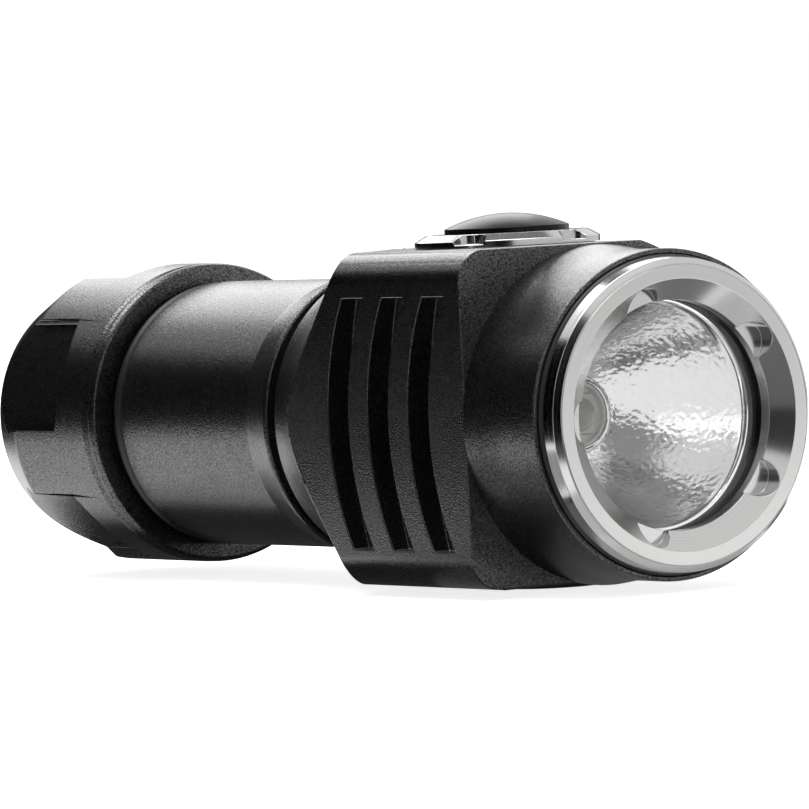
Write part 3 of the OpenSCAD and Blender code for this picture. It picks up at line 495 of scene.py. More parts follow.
def breakEdges(obj, width, angle=14, segments=3):
    # a small round on every edge sharper than the angle, with flat faces kept flat in the shading
    rounding = obj.modifiers.new("breakEdges", "BEVEL")
    rounding.width = width * mm
    rounding.segments = segments
    rounding.limit_method = "ANGLE"
    rounding.angle_limit = radians(angle)
    rounding.use_clamp_overlap = False
    rounding.harden_normals = True
    obj.data.shade_smooth()
    bake(obj)


def weld(obj, reach):
    # takes out the slivers that a cut leaves beside a curved face
    bm = bmesh.new()
    bm.from_mesh(obj.data)
    bmesh.ops.remove_doubles(bm, verts=bm.verts, dist=reach * mm)
    bm.to_mesh(obj.data)
    bm.free()


def joinTo(obj, other):
    bpy.ops.object.select_all(action="DESELECT")
    other.select_set(True)
    obj.select_set(True)
    bpy.context.view_layer.objects.active = obj
    bpy.ops.object.join()


def finishPiece(obj, body, slotName, *stoodFor):
    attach(obj, body)
    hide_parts(*stoodFor)


# Tail cap: a turned cup with flats round it and a bead at the rim

def makeTailCap():
    cap = {"radius": 12.0, "endRadius": 10.15, "taper": 5.2, "bead": 1.0, "beadLead": 0.4, "dip": 0.2,
           "bore": 9.78, "floor": 2.5, "rounds": (0, 0.45, 1.6, 0.4, 0.25, 0.35, 0.3, 0.15, 0.2, 0),
           "flats": 5, "flatLow": -4.4, "flatHigh": 4.7, "flatDepth": 1.5, "flatEnd": 12.4, "flatSteps": 8,
           "lowLean": 0.05, "highLean": 0.2, "crown": 41.0, "edge": 0.12}
    length = span("tail_cap")[1].x
    r, bore, floor, deep = cap["radius"], cap["bore"], cap["floor"], cap["flatDepth"]
    bead = length - cap["bead"]
    piece = lathe("tailCapShell", [
        (0, 0), (0, cap["endRadius"]), (cap["taper"], r), (bead - cap["beadLead"], r), (bead, r - cap["dip"]),
        (bead + cap["bead"] / 2, r), (length, r - cap["dip"]), (length, bore), (floor, bore), (floor, 0),
    ], cap["rounds"], anodised, steps=6, segments=240)
    # each flat is a slightly crowned floor between two steep walls
    low, high, steps = cap["flatLow"], cap["flatHigh"], cap["flatSteps"]
    across = [low + (high - low) * i / steps for i in range(steps + 1)]
    section = [(y, r - deep - y * y / (2 * cap["crown"])) for y in across]
    section += [(high + cap["highLean"] * (deep + past), r + past), (low - cap["lowLean"], r + past)]
    end = cap["flatEnd"] - deep
    flat = loft("flatCutter", [
        [(-past, y, z) for y, z in section], [(end + z - r + deep, y, z) for y, z in section],
    ])
    cutCopies(piece, flat, cap["flats"], turn=(360 / cap["flats"], 0, 0))
    breakEdges(piece, cap["edge"], angle=16)
    finishPiece(piece, "cap", "black_anodised", "tail_cap")


# Battery tube: a plain barrel with a flared lip and a right-hand thread at each end

def makeBatteryTube():
    tube = {"radius": 10.5, "bore": 8.6, "root": 9.35, "crest": 9.7, "pitch": 1.0, "flankLift": 1.75,
            "flankSlope": 5, "rowsPerPitch": 12, "threadEnd": 0.25, "capRim": 17.5, "shoulder": 19.2,
            "lip": 42.1, "lipRadius": 11.4, "flare": 4.0, "relief": 1.4, "frontThread": 1.6, "endLand": 0.2,
            "endRounds": (0, 0.12, 0), "rounds": (0, 0.15, 0.8, 2.0, 0.3, 0.15, 0)}
    low, high = span("battery_tube")
    r, bore, root, pitch = tube["radius"], tube["bore"], tube["root"], tube["pitch"]
    shoulder, lip, land, gap = tube["shoulder"], tube["lip"], tube["endLand"], tube["threadEnd"]

    def threaded(start, end):
        # rows of a real helix: the crest climbs one pitch for each turn
        rows = []
        count = round((end - start) / pitch * tube["rowsPerPitch"])
        for i in range(count + 1):
            station = start + (end - start) * i / count
            fade = min(1, (station - start) / pitch, (end - station) / pitch)

            def radius(angle, station=station, fade=fade):
                turn = ((station - start) / pitch - angle / (2 * pi)) % 1
                rise = max(0, min(1, tube["flankLift"] - abs(turn - 0.5) * tube["flankSlope"]))
                return root + (tube["crest"] - root) * rise * fade

            rows.append((station, radius))
        return rows

    rear = softened([(low.x, bore), (low.x, root), (low.x + land, root)], tube["endRounds"])
    barrel = softened([
        (tube["capRim"], root), (shoulder, root), (shoulder, r), (lip - tube["flare"], r),
        (lip, tube["lipRadius"]), (lip, root), (lip + tube["relief"], root),
    ], tube["rounds"])
    front = softened([(high.x - land, root), (high.x, root), (high.x, bore)], tube["endRounds"])
    chain = rear + threaded(low.x + gap, tube["capRim"] - gap) + barrel
    chain += threaded(lip + tube["frontThread"], high.x - gap) + front
    piece = turned("barrelTube", chain, anodised, closed=True, segments=240)
    finishPiece(piece, "torch", "black_anodised", "battery_tube")


# Head: a square block turned to a trumpet behind, with a round nose in front and curved cooling slots

flats = {"side": 12.5, "top": 12.75, "bottom": -12.25}


def makeHead():
    head = {"rearRadius": 11.5, "trumpet": 22.5, "trumpetSteps": 48, "slope": 11.4, "wide": 18.8,
            "shoulder": 71.2, "nose": 12.2, "flare": 0.45, "flareLength": 3.3, "root": 0.6, "rearBore": 9.78,
            "bay": 8.6, "bayStart": 50.5, "wallRear": 62.55, "wallFront": 64.95, "pocket": 8.05,
            "bowlStart": 67.55, "bowl": 9.9, "skirtStart": 75.45, "skirt": 10.98, "sealStart": 79.15,
            "sealSeat": 11.85, "sliver": 0.07, "edge": 0.1, "edgeAngle": 6,
            "noseRounds": (0, 0, 0, 20.0, 0.3, 0.05, 0.05, 0.05, 0.05, 0.05, 0)}
    slot = {"count": 3, "start": 9.1, "pitch": 5.4, "width": 2.75, "height": 18.8, "curve": 17.8,
            "depth": 2.2, "endDepth": 1.4, "steps": 40}
    low, high = span("head_body")
    slope, bend, steps = radians(head["slope"]), head["trumpet"], head["trumpetSteps"]
    shoulder, nose, bowl = head["shoulder"], head["nose"], head["bowl"]
    centre = Vector((low.x - bend * sin(slope), head["rearRadius"] + bend * cos(slope)))
    reach = acos((centre.y - head["wide"]) / bend)
    block = [(shoulder, 0), (shoulder, head["wide"])]
    for i in range(steps + 1):
        a = reach + (slope - reach) * i / steps
        block.append((centre.x + bend * sin(a), centre.y - bend * cos(a)))
    block.append((low.x, 0))
    piece = turned("headBody", block, anodised, segments=256)
    carve(piece, extruded("barCutter", blockOutline(), alongX, low.x - past, high.x + past), "INTERSECT")
    cutCopies(piece, slotCutter(slot, low.x, flats["side"]), slot["count"], step=(slot["pitch"], 0, 0))
    for cutter in seatCutters():
        carve(piece, cutter)
    carve(piece, turned("frontBore", [
        (head["wallFront"], 0), (head["wallFront"], head["pocket"]), (head["bowlStart"], head["pocket"]),
        (head["bowlStart"], bowl), (shoulder + past, bowl), (shoulder + past, 0),
    ], None))
    carve(piece, turned("rearBore", [
        (low.x - past, 0), (low.x - past, head["rearBore"]), (head["bayStart"], head["rearBore"]),
        (head["bayStart"], head["bay"]), (head["wallRear"], head["bay"]), (head["wallRear"], 0),
    ], None))
    weld(piece, head["sliver"])
    breakEdges(piece, head["edge"], angle=head["edgeAngle"])

    # the nose is a turned ring whose root stands inside the block
    root = shoulder - head["root"]
    joinTo(piece, lathe("noseRing", [
        (root, bowl + head["root"]), (root, nose - head["root"]), (shoulder, nose + head["flare"]),
        (shoulder + head["flareLength"], nose), (high.x, nose), (high.x, head["sealSeat"]),
        (head["sealStart"], head["sealSeat"]), (head["sealStart"], head["skirt"]),
        (head["skirtStart"], head["skirt"]), (head["skirtStart"], bowl), (shoulder, bowl),
    ], head["noseRounds"], anodised, closed=True, steps=6, segments=256))
    finishPiece(piece, "torch", "black_anodised", "head_body")


def blockOutline():
    # the block's section: two rounded corners on the near side, a round about the lamp's axis on the far side
    block = {"edgeRadius": 2.4, "edgeSteps": 24, "farRadius": 13.4, "farSteps": 18}
    side, top, bottom = flats["side"], flats["top"], flats["bottom"]
    r, far = block["edgeRadius"], block["farRadius"]
    wide = acos(side / far)
    outline = []
    for start, end in ((asin(top / far), wide), (-wide, asin(bottom / far))):
        for i in range(block["farSteps"] + 1):
            a = start + (end - start) * i / block["farSteps"]
            outline.append((far * cos(a), far * sin(a)))
    for cy, cz, start in ((r - side, bottom + r, 270), (r - side, top - r, 180)):
        for i in range(block["edgeSteps"] + 1):
            a = radians(start - 90 * i / block["edgeSteps"])
            outline.append((cy + r * cos(a), cz + r * sin(a)))
    return outline


def slotCutter(slot, rear, flat):
    # a bent bar on either side, whose floor rises towards its ends
    drop = slot["depth"] - slot["endDepth"]
    half = slot["height"] / 2
    floorRadius = (half * half + drop * drop) / (2 * drop)
    bars = []
    for side in (-1, 1):
        rows = []
        for i in range(slot["steps"] + 1):
            z = -half + slot["height"] * i / slot["steps"]
            x = rear + slot["start"] + slot["curve"] - sqrt(slot["curve"] ** 2 - z * z)
            deep = flat - slot["depth"] + floorRadius - sqrt(floorRadius ** 2 - z * z)
            end = x + slot["width"]
            corners = [(x, flat + past), (end, flat + past), (end, deep), (x, deep)]
            rows.append([(cx, side * cy, z) for cx, cy in corners])
        bars.append(rows)
    return loft("slotCutter", *bars)


def seatCutters():
    # the switch's hole in the top flat and the charging port's recess in the bottom one
    seat = {"radius": 5.95, "floor": 10.2, "recessLength": 11.6, "recessWidth": 7.0, "recessDepth": 1.6}
    mouth, bottom = flats["top"] + past, flats["bottom"]
    switchHole = turned("switchHole", [
        (seat["floor"], 0), (seat["floor"], seat["radius"]), (mouth, seat["radius"]), (mouth, 0),
    ], None, segments=96, place=aboutSwitch)
    ring = pillOutline(middleOf("port_socket").x, seat["recessLength"], seat["recessWidth"])
    return [switchHole, extruded("portRecess", ring, alongZ, bottom - past, bottom + seat["recessDepth"])]


def pillOutline(centre, length, width, steps=16):
    # a flat shape with round ends, lying along the lamp
    points = []
    for end in (1, -1):
        for i in range(steps + 1):
            a = radians(-90 + 180 * i / steps) + (0 if end == 1 else pi)
            points.append((centre + end * (length - width) / 2 + width / 2 * cos(a), width / 2 * sin(a)))
    return points


# Bezel: a steel ring screwed into the nose, with scallops for a wrench

def makeBezel():
    bezel = {"radius": 11.7, "faceRadius": 11.5, "band": 80.0, "bandLength": 1.05, "flatOut": 10.975,
             "flatIn": 9.975, "lip": 8.45, "bevel": 1.2, "lipDepth": 2.25, "skirt": 10.9, "cup": 9.95,
             "grooveRim": 0.1, "grooveRimDrop": 0.03, "groove": 0.05, "grooveDepth": 0.1,
             "rounds": (0.08, 0.08, 0.05, 0.05, 0.15, 0.05, 0.1, 0.08, 0.02, 0.02, 0.03, 0.07),
             "scallops": 5, "scallopRadius": 1.45, "scallopStep": 0.3, "edge": 0.05}
    low, high = span("bezel_ring")
    front, band, flatOut, lip = high.x, bezel["band"], bezel["flatOut"], bezel["lip"]
    back = front - bezel["lipDepth"]
    piece = lathe("bezelRing", [
        (front - bezel["bevel"], lip), (back, lip), (back, bezel["cup"]), (low.x, bezel["cup"]),
        (low.x, bezel["skirt"]), (band, bezel["skirt"]), (band, bezel["radius"]),
        (band + bezel["bandLength"], bezel["faceRadius"]),
        (front - bezel["grooveRimDrop"], flatOut + bezel["grooveRim"]),
        (front - bezel["grooveDepth"], flatOut + bezel["groove"]), (front, flatOut), (front, bezel["flatIn"]),
    ], bezel["rounds"], bezelSteel, closed=True, segments=288)
    ring = circle(bezel["scallopRadius"], step=6, centre=(-lip, 0))
    bottom = front - bezel["bevel"] - bezel["scallopStep"]
    scallop = extruded("scallopCutter", ring, alongX, bottom, front + past)
    cutCopies(piece, scallop, bezel["scallops"], turn=(360 / bezel["scallops"], 0, 0))
    breakEdges(piece, bezel["edge"], angle=32, segments=2)
    finishPiece(piece, "torch", "polished_steel", "bezel_ring")


# Ring seals: round cord in the tail gap, the head gap and under the bezel

def makeSeals():
    seals = {"tail_seal": "tailSealCord", "head_seal": "headSealCord", "bezel_seal": "bezelSealCord"}
    for node, name in seals.items():
        low, high = span(node)
        cord = (high.x - low.x) / 2
        chain = circle(cord, step=15, centre=((low.x + high.x) / 2, high.z - cord))
        finishPiece(turned(name, chain, rubber, closed=True), "torch", "black_rubber", node)


# Lamp: glass, gasket, textured bowl, the lit chip under its dome, and the collar round it

bowlHole = 2.5  # the radius of the hole at the bowl's foot, in which the collar stands


def makeLens():
    lens = {"rounds": (0, 0.12, 0.12, 0), "gasketIn": 8.5, "seat": 9.55,
            "gasketRounds": (0.15, 0.1, 0.05, 0.08, 0.08, 0.1)}
    back, front = span("lens")
    finishPiece(lathe("lensGlassDisc", [
        (back.x, 0), (back.x, front.z), (front.x, front.z), (front.x, 0),
    ], lens["rounds"], glass), "torch", "lens_glass", "lens")
    low, high = span("lens_gasket")
    finishPiece(lathe("lensGasketRing", [
        (low.x, lens["gasketIn"]), (back.x, lens["gasketIn"]), (back.x, lens["seat"]), (high.x, lens["seat"]),
        (high.x, high.z), (low.x, high.z),
    ], lens["gasketRounds"], rubber, closed=True), "torch", "black_rubber", "lens_gasket")


def makeReflector():
    dish = {"mouth": 8.25, "mouthRound": 0.25, "mouthSteps": 5, "wall": 0.9, "flange": 0.8, "foot": 4.6,
            "lip": 0.26, "lipRise": 0.5, "lipRound": 0.06, "rows": 140, "wallRows": 24, "peel": 0.38,
            "peelDepth": 0.024, "finePeel": 2.3, "fineShare": 0.5, "onBowl": 1e-3, "plainEdge": 0.01}
    low, high = span("reflector")
    focal = (dish["mouth"] ** 2 - bowlHole ** 2) / (4 * (high.x - low.x))

    def bowl(station):
        return sqrt(4 * focal * (station - low.x) + bowlHole ** 2)

    # a plain lip stands round the hole
    bare = dish["lipRound"]
    lipEdge, lipTop = bowlHole + dish["lip"], low.x + dish["lipRise"]
    inside = [Vector(p) for p in (
        (low.x, bowlHole), (lipTop - bare, bowlHole), (lipTop, bowlHole + bare), (lipTop, lipEdge - bare),
        (lipTop - bare, lipEdge),
    )]
    edge = dish["mouth"] - dish["mouthRound"]
    for i in range(dish["rows"] + 1):
        radius = lipEdge + (edge - lipEdge) * i / dish["rows"]
        inside.append(Vector((low.x + (radius ** 2 - bowlHole ** 2) / (4 * focal), radius)))
    # a small round carries the bowl over into its flange
    corner = Vector((high.x, edge + (high.x - inside[-1].x) * 2 * focal / edge))
    start, end = inside[-1], Vector((high.x, dish["mouth"] + dish["mouthRound"]))
    shares = [(i + 1) / dish["mouthSteps"] for i in range(dish["mouthSteps"])]
    inside += [start * (1 - t) ** 2 + corner * 2 * t * (1 - t) + end * t * t for t in shares]
    wallTop = high.x - dish["flange"]
    outside = [Vector((high.x, high.z)), Vector((wallTop, high.z))]
    for i in range(dish["wallRows"], -1, -1):
        station = low.x + (wallTop - low.x) * i / dish["wallRows"]
        outside.append(Vector((station, max(bowl(station) + dish["wall"], dish["foot"]))))
    piece = turned("reflectorBowl", inside + outside, reflectorMetal, closed=True, segments=480)

    # the orange peel lifts the bowl's own points, between the lip and the mouth
    inner, outer = lipEdge + dish["plainEdge"], edge - dish["plainEdge"]
    for vertex in piece.data.vertices:
        point = vertex.co / mm
        radius = hypot(point.y, point.z)
        if abs(radius - bowl(max(point.x, low.x))) < dish["onBowl"] and inner < radius < outer:
            spot = point / dish["peel"]
            lump = noise.noise(spot) + dish["fineShare"] * noise.noise(spot * dish["finePeel"])
            slope = Vector((-radius / (2 * focal), point.y / radius, point.z / radius)).normalized()
            vertex.co += slope * lump * dish["peelDepth"] * mm
    finishPiece(piece, "torch", "reflector_chrome", "reflector")


def makeLamp():
    lamp = {"chipEdge": 0.125, "domeStep": 5, "play": 0.05, "collarRim": 0.4, "well": 2.2, "wellDepth": 0.5,
            "rounds": (0, 0.05, 0.1, 0.05, 0.05, 0.05, 0.05, 0), "collarEdge": 0.04}
    low, high = span("led_base")
    half = high.y
    chip = extruded("lampChip", square(half), alongX, low.x, high.x, nylon)
    breakEdges(chip, lamp["chipEdge"])
    finishPiece(chip, "torch", "white_plastic", "led_base")

    low, high = span("led_dome")
    r = high.z
    angles = [radians(a) for a in range(0, 90, lamp["domeStep"])]
    dome = [(low.x, 0)] + [(low.x + r * sin(a), r * cos(a)) for a in angles] + [(low.x + r, 0)]
    finishPiece(turned("lampDome", dome, phosphor, segments=64), "torch", "lamp_dome", "led_dome")

    low, high = span("led_collar")
    ledge, floor, rim = high.x - lamp["collarRim"], high.x - lamp["wellDepth"], bowlHole - lamp["play"]
    collar = lathe("lampCollar", [
        (low.x, 0), (low.x, high.z), (ledge, high.z), (ledge, rim), (high.x, rim), (high.x, lamp["well"]),
        (floor, lamp["well"]), (floor, 0),
    ], lamp["rounds"], nylon, segments=96)
    window = square(half + lamp["play"])
    carve(collar, extruded("chipWindow", window, alongX, low.x - past, high.x + past))
    breakEdges(collar, lamp["collarEdge"], angle=30)
    finishPiece(collar, "torch", "white_plastic", "led_collar")


# Switch: a scalloped steel ring round a domed button, over a soft boot

def makeSwitch():
    ring = {"radius": 7.0, "top": 6.1, "wall": 0.5, "skirt": 5.9, "skirtWall": 0.5, "inside": 4.78,
            "lip": 0.8, "rounds": (0.06, 0.05, 0.05, 0.08, 0.03, 0.05, 0.1, 0.1, 0.08), "edge": 0.06,
            "scallops": 5, "scallopRadius": 1.3, "scallopFloor": 0.25, "turn": 12.9}
    button = {"radius": 4.7, "dome": 1.05, "domeSteps": 32, "flange": 5.25, "flangeThick": 0.7, "stem": 1.2,
              "edge": 14.15, "under": 12.85, "rounds": (0, 0.12, 0.05, 0.1, 0.1, 0.1, 0.15, 0)}
    boot = {"rim": 0.8, "domeRadius": 3.4, "wall": 0.5, "keep": 0.55,
            "rounds": (0, 0.35, 0.2, 0.1, 0.1, 0.1, 0.2, 0)}
    low, high = span("switch_ring")
    flat, r = flats["top"], ring["radius"]
    under, bore = high.z - ring["lip"], ring["skirt"] - ring["skirtWall"]
    piece = lathe("switchRing", [
        (under, ring["inside"]), (under, bore), (low.z, bore), (low.z, ring["skirt"]), (flat, ring["skirt"]),
        (flat, r), (flat + ring["wall"], r), (high.z, ring["top"]), (high.z, ring["inside"]),
    ], ring["rounds"], ringSteel, closed=True, segments=216, place=aboutSwitch)
    turn, count = radians(ring["turn"]), ring["scallops"]
    outline = circle(ring["scallopRadius"], step=8, centre=(r * cos(turn), r * sin(turn)))
    notch = extruded("notchCutter", outline, alongZ, flat + ring["scallopFloor"], high.z + past)
    cutCopies(piece, notch, count, turn=(0, 0, 360 / count), start=(switchCentre.x, 0, 0))
    breakEdges(piece, ring["edge"], angle=32, segments=2)
    finishPiece(piece, "torch", "polished_steel", "switch_ring")

    low, high = span("switch_button")
    r, steps = button["radius"], button["domeSteps"]
    curve = (r * r + button["dome"] ** 2) / (2 * button["dome"])
    dome = []
    for i in range(steps + 1):
        a = asin(r / curve) * i / steps
        dome.append(Vector((high.z - curve + curve * cos(a), curve * sin(a))))
    under, flange, stem = button["under"], button["flange"], button["stem"]
    flangeLow = under - button["flangeThick"]
    side = softened([
        dome[-2], (button["edge"], r), (under, r), (under, flange), (flangeLow, flange), (flangeLow, stem),
        (low.z, stem), (low.z, 0),
    ], button["rounds"])
    piece = turned("switchButtonCap", dome[:-2] + side, buttonGloss, segments=160, place=aboutSwitch)
    finishPiece(piece, "button", "black_plastic", "switch_button")

    low, high = span("switch_boot")
    r, wall = boot["domeRadius"], boot["wall"]
    rim = low.z + boot["rim"]
    piece = lathe("switchBootSkin", [
        (high.z, 0), (high.z, r), (rim, r), (rim, high.y), (low.z, high.y), (low.z, r - wall),
        (high.z - wall, r - wall), (high.z - wall, 0),
    ], boot["rounds"], silicone, segments=96, place=aboutSwitch)
    finishPiece(piece, "torch", "black_rubber", "switch_boot")
    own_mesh(piece)


# Charging port: a soft hinged cover and the anchor that holds it

def makePort():
    port = {"width": 9.0, "thick": 0.6, "chamfer": 0.35, "endSteps": 32, "plugLength": 10.8, "plugWidth": 6.2,
            "postRadius": 1.2, "anchorStraight": 0.01, "soft": 0.12, "softAngle": 25}
    low, high = span("port_cover")
    half, inset, hingeRadius = port["width"] / 2, port["chamfer"], port["thick"] / 2
    hinge, top = high.x - hingeRadius, low.z + port["thick"]

    def padEnd(name, roundX, straightX, floor, ceiling):
        # half a round pad that runs on straight to straightX, narrower at its floor
        side = 1 if straightX > roundX else -1
        angles = [radians(90 + 180 * i / port["endSteps"]) for i in range(port["endSteps"] + 1)]
        rings = []
        for radius, z in ((half - inset, floor), (half, ceiling)):
            ring = [(roundX + side * radius * cos(a), radius * sin(a), z) for a in angles]
            rings.append(ring + [(straightX, -radius, z), (straightX, radius, z)])
        return loft(name, rings, material=rubber)

    cover = padEnd("portCoverPad", low.x + half, hinge, low.z, top)
    roll = circle(hingeRadius, step=15, centre=(hinge, low.z + hingeRadius))
    carve(cover, extruded("hingeRoll", roll, alongY, -half + inset, half - inset, rubber), "UNION")
    plug = pillOutline(middleOf("port_socket").x, port["plugLength"], port["plugWidth"])
    carve(cover, extruded("portPlug", plug, alongZ, top - sunk, high.z, rubber), "UNION")
    breakEdges(cover, port["soft"], angle=port["softAngle"])
    finishPiece(cover, "cover", "black_rubber", "port_cover")

    low, high = span("port_anchor")
    flat = flats["bottom"]
    anchor = padEnd("portAnchorPad", low.x + port["anchorStraight"], low.x, low.z, flat)
    post = circle(port["postRadius"], step=12, centre=(low.x + port["width"] / 4, 0))
    carve(anchor, extruded("anchorPost", post, alongZ, flat - sunk, high.z, rubber), "UNION")
    breakEdges(anchor, port["soft"], angle=port["softAngle"])
    finishPiece(anchor, "torch", "black_rubber", "port_anchor")


# Inside: the wound contact spring, the wires and the screws

def makeSpring():
    spring = {"wire": 0.8, "turns": 5, "base": 6.6, "tip": 3.1, "steps": 48}
    low, high = span("tail_spring")
    count = spring["turns"] * spring["steps"]
    route = []
    for i in range(count + 1):
        share = i / count
        radius = spring["base"] + (spring["tip"] - spring["base"]) * share
        a = 2 * pi * i / spring["steps"]
        station = low.x + spring["wire"] / 2 + (high.x - low.x - spring["wire"]) * share
        route.append((station, radius * cos(a), radius * sin(a)))
    piece = sweptAlong("tailSpringWire", [route], spring["wire"], springWire)
    finishPiece(piece, "tail_contact", "spring_steel", "tail_spring")


def makeWires():
    wire = {"width": 0.9, "lampOff": 6.3, "lampBend": 0.54, "bendStep": 10, "lampEnd": 4.7, "switchOff": 1.8,
            "portOff": 0.9, "steps": 20}
    half = wire["width"] / 2

    def bentLeads(name, node, off, rises, cover, slotName):
        # a pair that leaves along the lamp and then bends up or down
        low, high = span(node)
        level, end = (low.z + half, high.z) if rises else (high.z - half, low.z)
        shares = [i / wire["steps"] for i in range(wire["steps"] + 1)]
        places = ((low.x, level), (high.x - half, level), (high.x - half, end))
        routes = []
        for y in (-off, off):
            first, bend, last = (Vector((x, y, z)) for x, z in places)
            routes.append([first * (1 - t) ** 3 + bend * 3 * t * (1 - t) + last * t ** 3 for t in shares])
        finishPiece(sweptAlong(name, routes, wire["width"], cover), "torch", slotName, node)

    low, high = span("led_wires")
    off, bend, top = wire["lampOff"], wire["lampBend"], high.x - half
    arc = [radians(a) for a in range(0, 91, wire["bendStep"])]
    routes = []
    for side in (-1, 1):
        turn = [(top - bend + bend * sin(a), side * (off - bend + bend * cos(a)), 0) for a in arc]
        routes.append([(low.x, side * off, 0)] + turn + [(top, side * wire["lampEnd"], 0)])
    leads = sweptAlong("lampLeads", routes, wire["width"], redInsulation)
    finishPiece(leads, "torch", "red_insulation", "led_wires")
    bentLeads("switchLeads", "switch_wires", wire["switchOff"], True, blackInsulation, "black_insulation")
    bentLeads("portLeads", "port_wires", wire["portOff"], False, redInsulation, "red_insulation")


def makeScrews():
    screw = {"head": 1.15, "headHeight": 0.8, "rounds": (0, 0.3, 0.08, 0), "shank": 0.7, "length": 2.8,
             "pitch": 0.35, "thread": 0.08, "rootLead": 0.1, "crestLead": 0.7, "point": 0.2, "key": 0.6,
             "keyDepth": 0.45, "lampOff": 6.2}
    head, height, shank, length = (screw[size] for size in ("head", "headHeight", "shank", "length"))

    def oneScrew():
        chain = softened([(height, 0), (height, head), (0, head), (0, shank)], screw["rounds"])
        ridges = round(length / screw["pitch"])
        for i in range(ridges):
            station = -length * i / ridges
            chain.append((station - screw["rootLead"], shank - screw["thread"]))
            chain.append((station - screw["pitch"] * screw["crestLead"], shank))
        chain += [(-length, shank - screw["point"]), (-length, 0)]
        part = turned("oneScrew", chain, nickelPlate, segments=40)
        key = circle(screw["key"], step=60)
        carve(part, extruded("keyCutter", key, alongX, height - screw["keyDepth"], height + past))
        return part

    def place(name, node, points, turn):
        bm = bmesh.new()
        for point in points:
            bm.verts.new(Vector(point) * mm)
        obj = meshFrom(name, bm, nickelPlate)
        part = oneScrew()
        growNodes(obj, placedCopies, Part=part, Turn=[radians(a) for a in turn], Finish=nickelPlate)
        bpy.data.objects.remove(part)
        finishPiece(obj, "torch", "plated_steel", node)

    seat, off = span("led_screws")[1].x - height, screw["lampOff"]
    place("lampBoardScrews", "led_screws", [(seat, 0, -off), (seat, 0, off)], (0, 0, 0))
    low, high = span("switch_screws")
    middle, side, seat = (low.x + high.x) / 2, high.y - head, low.z + height
    place("switchBoardScrews", "switch_screws", [(middle, -side, seat), (middle, side, seat)], (0, 90, 0))


makeTailCap()
print("tail cap made")
makeBatteryTube()
print("battery tube made")
makeHead()
print("head made")
makeBezel()
makeSeals()
print("bezel and seals made")
makeLens()
makeReflector()
makeLamp()
print("lens, reflector and lamp made")
makeSwitch()
print("switch made")
makePort()
print("port made")
makeSpring()
makeWires()
makeScrews()
print("spring, wires and screws made")


# The nodes inside keep their shapes and take a finish each

innerFinishes = {
    "tail_plate": brass, "cell_can": cellFilm, "cell_terminal": nickelPlate, "cell_washer": nylon,
    "led_board": lampMask,
    "driver_ring": brass, "driver_board": circuitMask, "driver_post": brass, "driver_inductor": epoxy,
    "driver_chips": epoxy,
    "switch_plunger": nylon, "switch_body": epoxy, "switch_board": circuitMask,
    "port_socket": nickelPlate, "port_tongue": epoxy, "port_board": circuitMask,
}
for name, material in innerFinishes.items():
    nodes[name].data.materials.clear()
    nodes[name].data.materials.append(material)


# Stage: a pale table in a white room, with glowing cards that only the reflections see: painted reflections,
# dark ones painted shade and pale ones painted light

def setSurface(tree, shader):
    # puts a shader in the place of the material's own surface
    output = next(n for n in tree.nodes if n.type == "OUTPUT_MATERIAL")
    tree.links.new(shader, output.inputs["Surface"])


def makeTable(bottom):
    table = {"size": 6000.0, "cameraGlow": 0.82, "mirrorGlow": 0.35}
    bpy.ops.mesh.primitive_plane_add(size=table["size"] * mm, location=(0, 0, bottom * mm))
    floor = bpy.context.object
    floor.name = "floor"
    material, tree, surface = newMaterial(
        "paleTable", Base_Color=hexColour("#e6e6e6"), Roughness=0.9, Specular_IOR_Level=0.1,
    )[:3]
    path = addNode(tree, "ShaderNodeLightPath").outputs
    mirror = addNode(tree, "ShaderNodeMath", {"operation": "MAXIMUM"}, {
        0: path["Is Glossy Ray"], 1: path["Is Transmission Ray"],
    })
    glow = addNode(tree, "ShaderNodeMath", {"operation": "MULTIPLY"}, {
        0: mirror.outputs["Value"], 1: table["mirrorGlow"],
    })
    share = addNode(tree, "ShaderNodeMath", {"operation": "MULTIPLY_ADD"}, {
        0: path["Is Camera Ray"], 1: table["cameraGlow"], 2: glow.outputs["Value"],
    })
    white = addNode(tree, "ShaderNodeEmission", inputs={
        "Color": hexColour("#ffffff"), "Strength": share.outputs["Value"],
    })
    both = addNode(tree, "ShaderNodeAddShader", inputs={
        0: surface.outputs["BSDF"], 1: white.outputs["Emission"],
    })
    setSurface(tree, both.outputs["Shader"])
    floor.data.materials.append(material)


